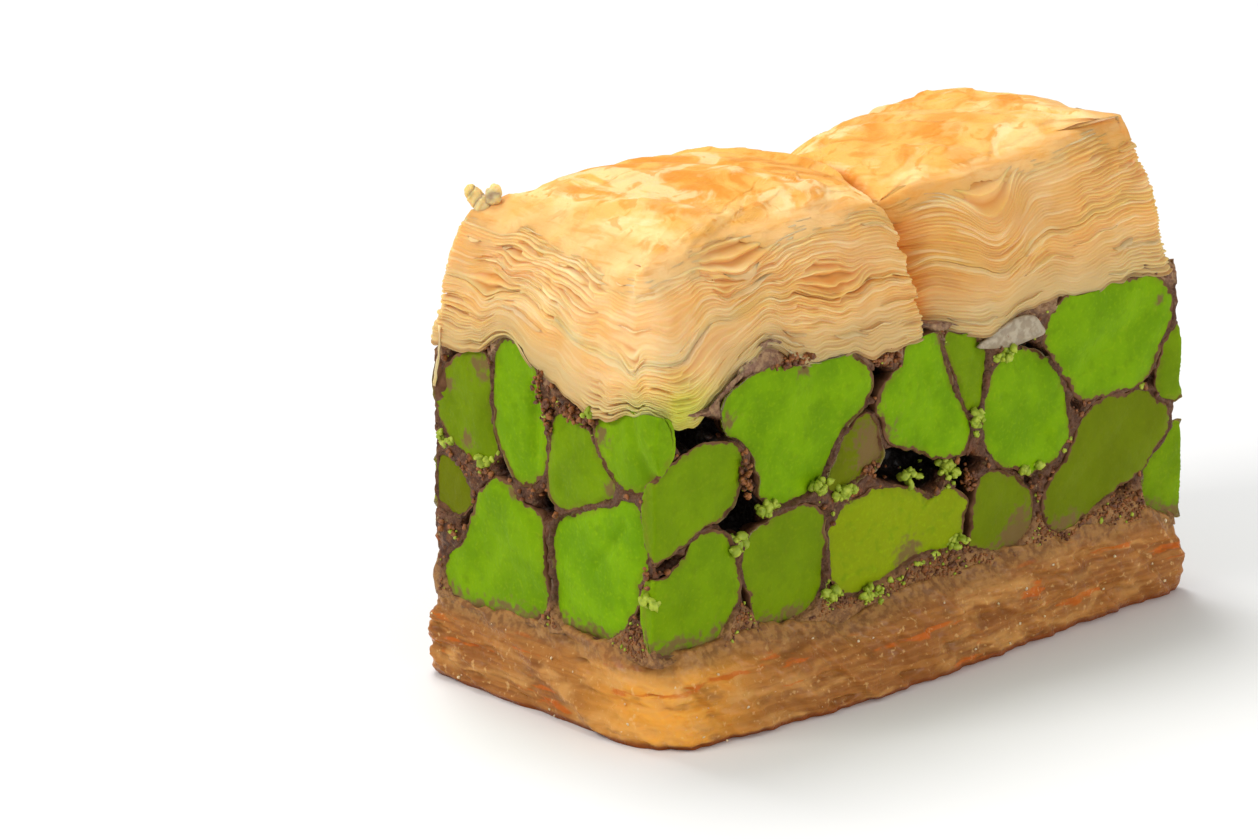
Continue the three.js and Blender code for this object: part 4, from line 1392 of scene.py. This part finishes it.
def build_sugar(rim, material):
    """Small grains of sugar on the side of the base, most of them near the foot."""
    draw = np.random.default_rng(9)
    skin = Skin()
    for _ in range(SUGAR_COUNT):
        i = draw.integers(0, rim.count)
        share = draw.uniform(0.06, 0.9) ** 1.6
        z = share * BASE_TOP
        x, y = base_side(rim, share)
        place = rim.ring(x, y, z + 0.2, base_relief(x, y, z))[i]
        add_grain(skin, place, draw.uniform(*SUGAR_SIZES), int(draw.integers(*SEEDS)))
    skin.build("sugar_grains", material, "soaked_pastry")


SHARD = (  # corners of its outline: place along the front and up
    (6.4, 27.0), (8.4, 27.7), (11.4, 28.3), (12.6, 28.0),
    (13.6, 26.9), (12.9, 26.5), (10.0, 26.5), (8.0, 26.6),
)
SHARD_THICK = 0.4
SHARD_DEPTH = 0.15


def build_shard(material):
    """The flat piece of sugar under the right lobe."""
    shard = Kernel(FRONT, 0, SHARD)
    rings = []
    for share, depth in ((0.5, 0.0), (0.95, 0.05), (1.0, 0.2), (1.0, SHARD_THICK), (0.5, SHARD_THICK)):
        side, rise = share * shard.radii * COS, share * shard.radii * SIN
        uneven = 0.15 * noise(side, rise, 0, 1.2, 90)
        rings.append(turned(shard.along + side, SHARD_DEPTH + depth + uneven, shard.up + rise, FRONT))
    points, triangles = ringed(np.array(rings), rings[0].mean(0), rings[-1].mean(0))
    Skin().add(points, triangles[:, ::-1]).build("sugar_shard", material, "pistachio")


STRAND = ((12.2, 30.6), (12.4, 28.6), (12.7, 26.6), (13.0, 25.2))  # across the bar from the middle, and up
STRAND_WIDE = 0.15
PUFF_STRETCH = np.array([0.9, 0.8, 0.9])
PUFFS = (  # x, y, z, radius
    (-28.0, 9.6, 41.1, 0.9),
    (-27.4, 9.0, 41.6, 0.8),
    (-28.3, 10.2, 41.6, 0.8),
    (-27.3, 8.9, 42.1, 0.7),
    (-28.5, 10.5, 42.1, 0.7),
)
LOOSE_LEVEL = 0.6  # coloured like the leaves at this level


def build_loose_filo(material):
    """The pale puffed crumb on the rim at the back, and the strand that hangs at the left end."""
    skin = Skin()
    for number, (*place, radius) in enumerate(PUFFS):
        seed = 500 + 2 * number
        add_grain(skin, np.array(place), radius * PUFF_STRETCH, seed, CHUNK, 0.5, level=LOOSE_LEVEL)
    knots = np.linspace(0, 1, len(STRAND))
    y, z = (np.interp(np.linspace(0, 1, 24), knots, row)[:, None] for row in zip(*STRAND))
    turn = np.linspace(0, 2 * np.pi, 10, endpoint=False)
    wide = STRAND_WIDE * (1 + 0.5 * noise(z, 0, 0, 1.0, 91))
    x = -HALF_LENGTH + 0.1 + 0.1 * wander(z, 4, 1) + 0.3 * wide * np.cos(turn)
    rings = np.stack([x, y + wide * np.sin(turn), z + 0 * x], -1)
    skin.add(*ringed(rings, rings[0].mean(0), rings[-1].mean(0)), level=LOOSE_LEVEL)
    skin.build("loose_filo", material, "golden_filo")


# ---------------------------------------------------------------- camera, light and floor

CAMERA_AT = np.array([-484.24, -506.14, 244.92])
CAMERA_AIM = np.array([-11.184, 10.245, 18.764])
CAMERA_LENS = 251.5
LAMP_AIM = (0, 0, 0.02)
SOFTBOXES = (  # name, place and size in metres, power, tone
    ("key", (-0.5, 0.12, 0.45), 0.3, 2.3, (1, 0.98, 0.95)),
    ("front", (0.1, -0.7, 0.08), 0.4, 2.3, (1, 1, 1)),
    ("back", (0.06, 0.3, 0.66), 0.3, 3.0, (1, 1, 1)),
)
WORLD_STRENGTH = 0.5
FLOOR_SIZE = 12


def put(name, data, at, target):
    """A camera or lamp in the scene, aimed at a target, both in metres."""
    thing = bpy.data.objects.new(name, data)
    bpy.context.scene.collection.objects.link(thing)
    thing.location = at
    thing.rotation_mode = "QUATERNION"
    thing.rotation_quaternion = (Vector(target) - Vector(at)).to_track_quat("-Z", "Y")
    return thing


def make_camera():
    data = bpy.data.cameras.new("camera")
    data.lens = CAMERA_LENS
    data.sensor_width = 36
    data.clip_start = 0.01
    data.clip_end = 20
    bpy.context.scene.camera = put("camera", data, to_frame(CAMERA_AT), to_frame(CAMERA_AIM))


def make_studio():
    for name, at, size, power, tone in SOFTBOXES:
        data = bpy.data.lights.new(name, "AREA")
        data.size = size
        data.energy = power
        data.color = tone
        put(name, data, at, LAMP_AIM)
    world = bpy.data.worlds.new("studio")
    world.use_nodes = True
    world.node_tree.nodes["Background"].inputs["Color"].default_value = (1, 1, 1, 1)
    world.node_tree.nodes["Background"].inputs["Strength"].default_value = WORLD_STRENGTH
    bpy.context.scene.world = world
    bpy.context.scene.view_settings.view_transform = "Standard"
    bpy.ops.mesh.primitive_plane_add(size=FLOOR_SIZE)
    floor = bpy.context.object
    floor.name = "floor"
    paint = Paint("pale_floor", roughness=0.7, specular=0.2)
    paint.set("Base Color", (0.82, 0.82, 0.82, 1))
    floor.data.materials.append(paint.material)


# ---------------------------------------------------------------- the bar

make_camera()
make_studio()
filo = filo_paint()
stack = Stack()
build_leaves(stack, filo)
build_crust(stack, crust_paint())
build_flakes(stack, filo)
base_rim = build_base(soaked_paint())
build_kernels(kernel_paint())
build_core(core_paint())
build_crumbs(
    crumb_paint("nut_crumbs", (172, 188, 56), (138, 158, 30)),
    crumb_paint("skin_crumbs", (96, 56, 32), (150, 92, 44)),
)
build_sugar(base_rim, sugar_paint())
build_shard(crumb_paint("sugar_shard", (176, 162, 138), (150, 134, 110)))
build_loose_filo(filo)
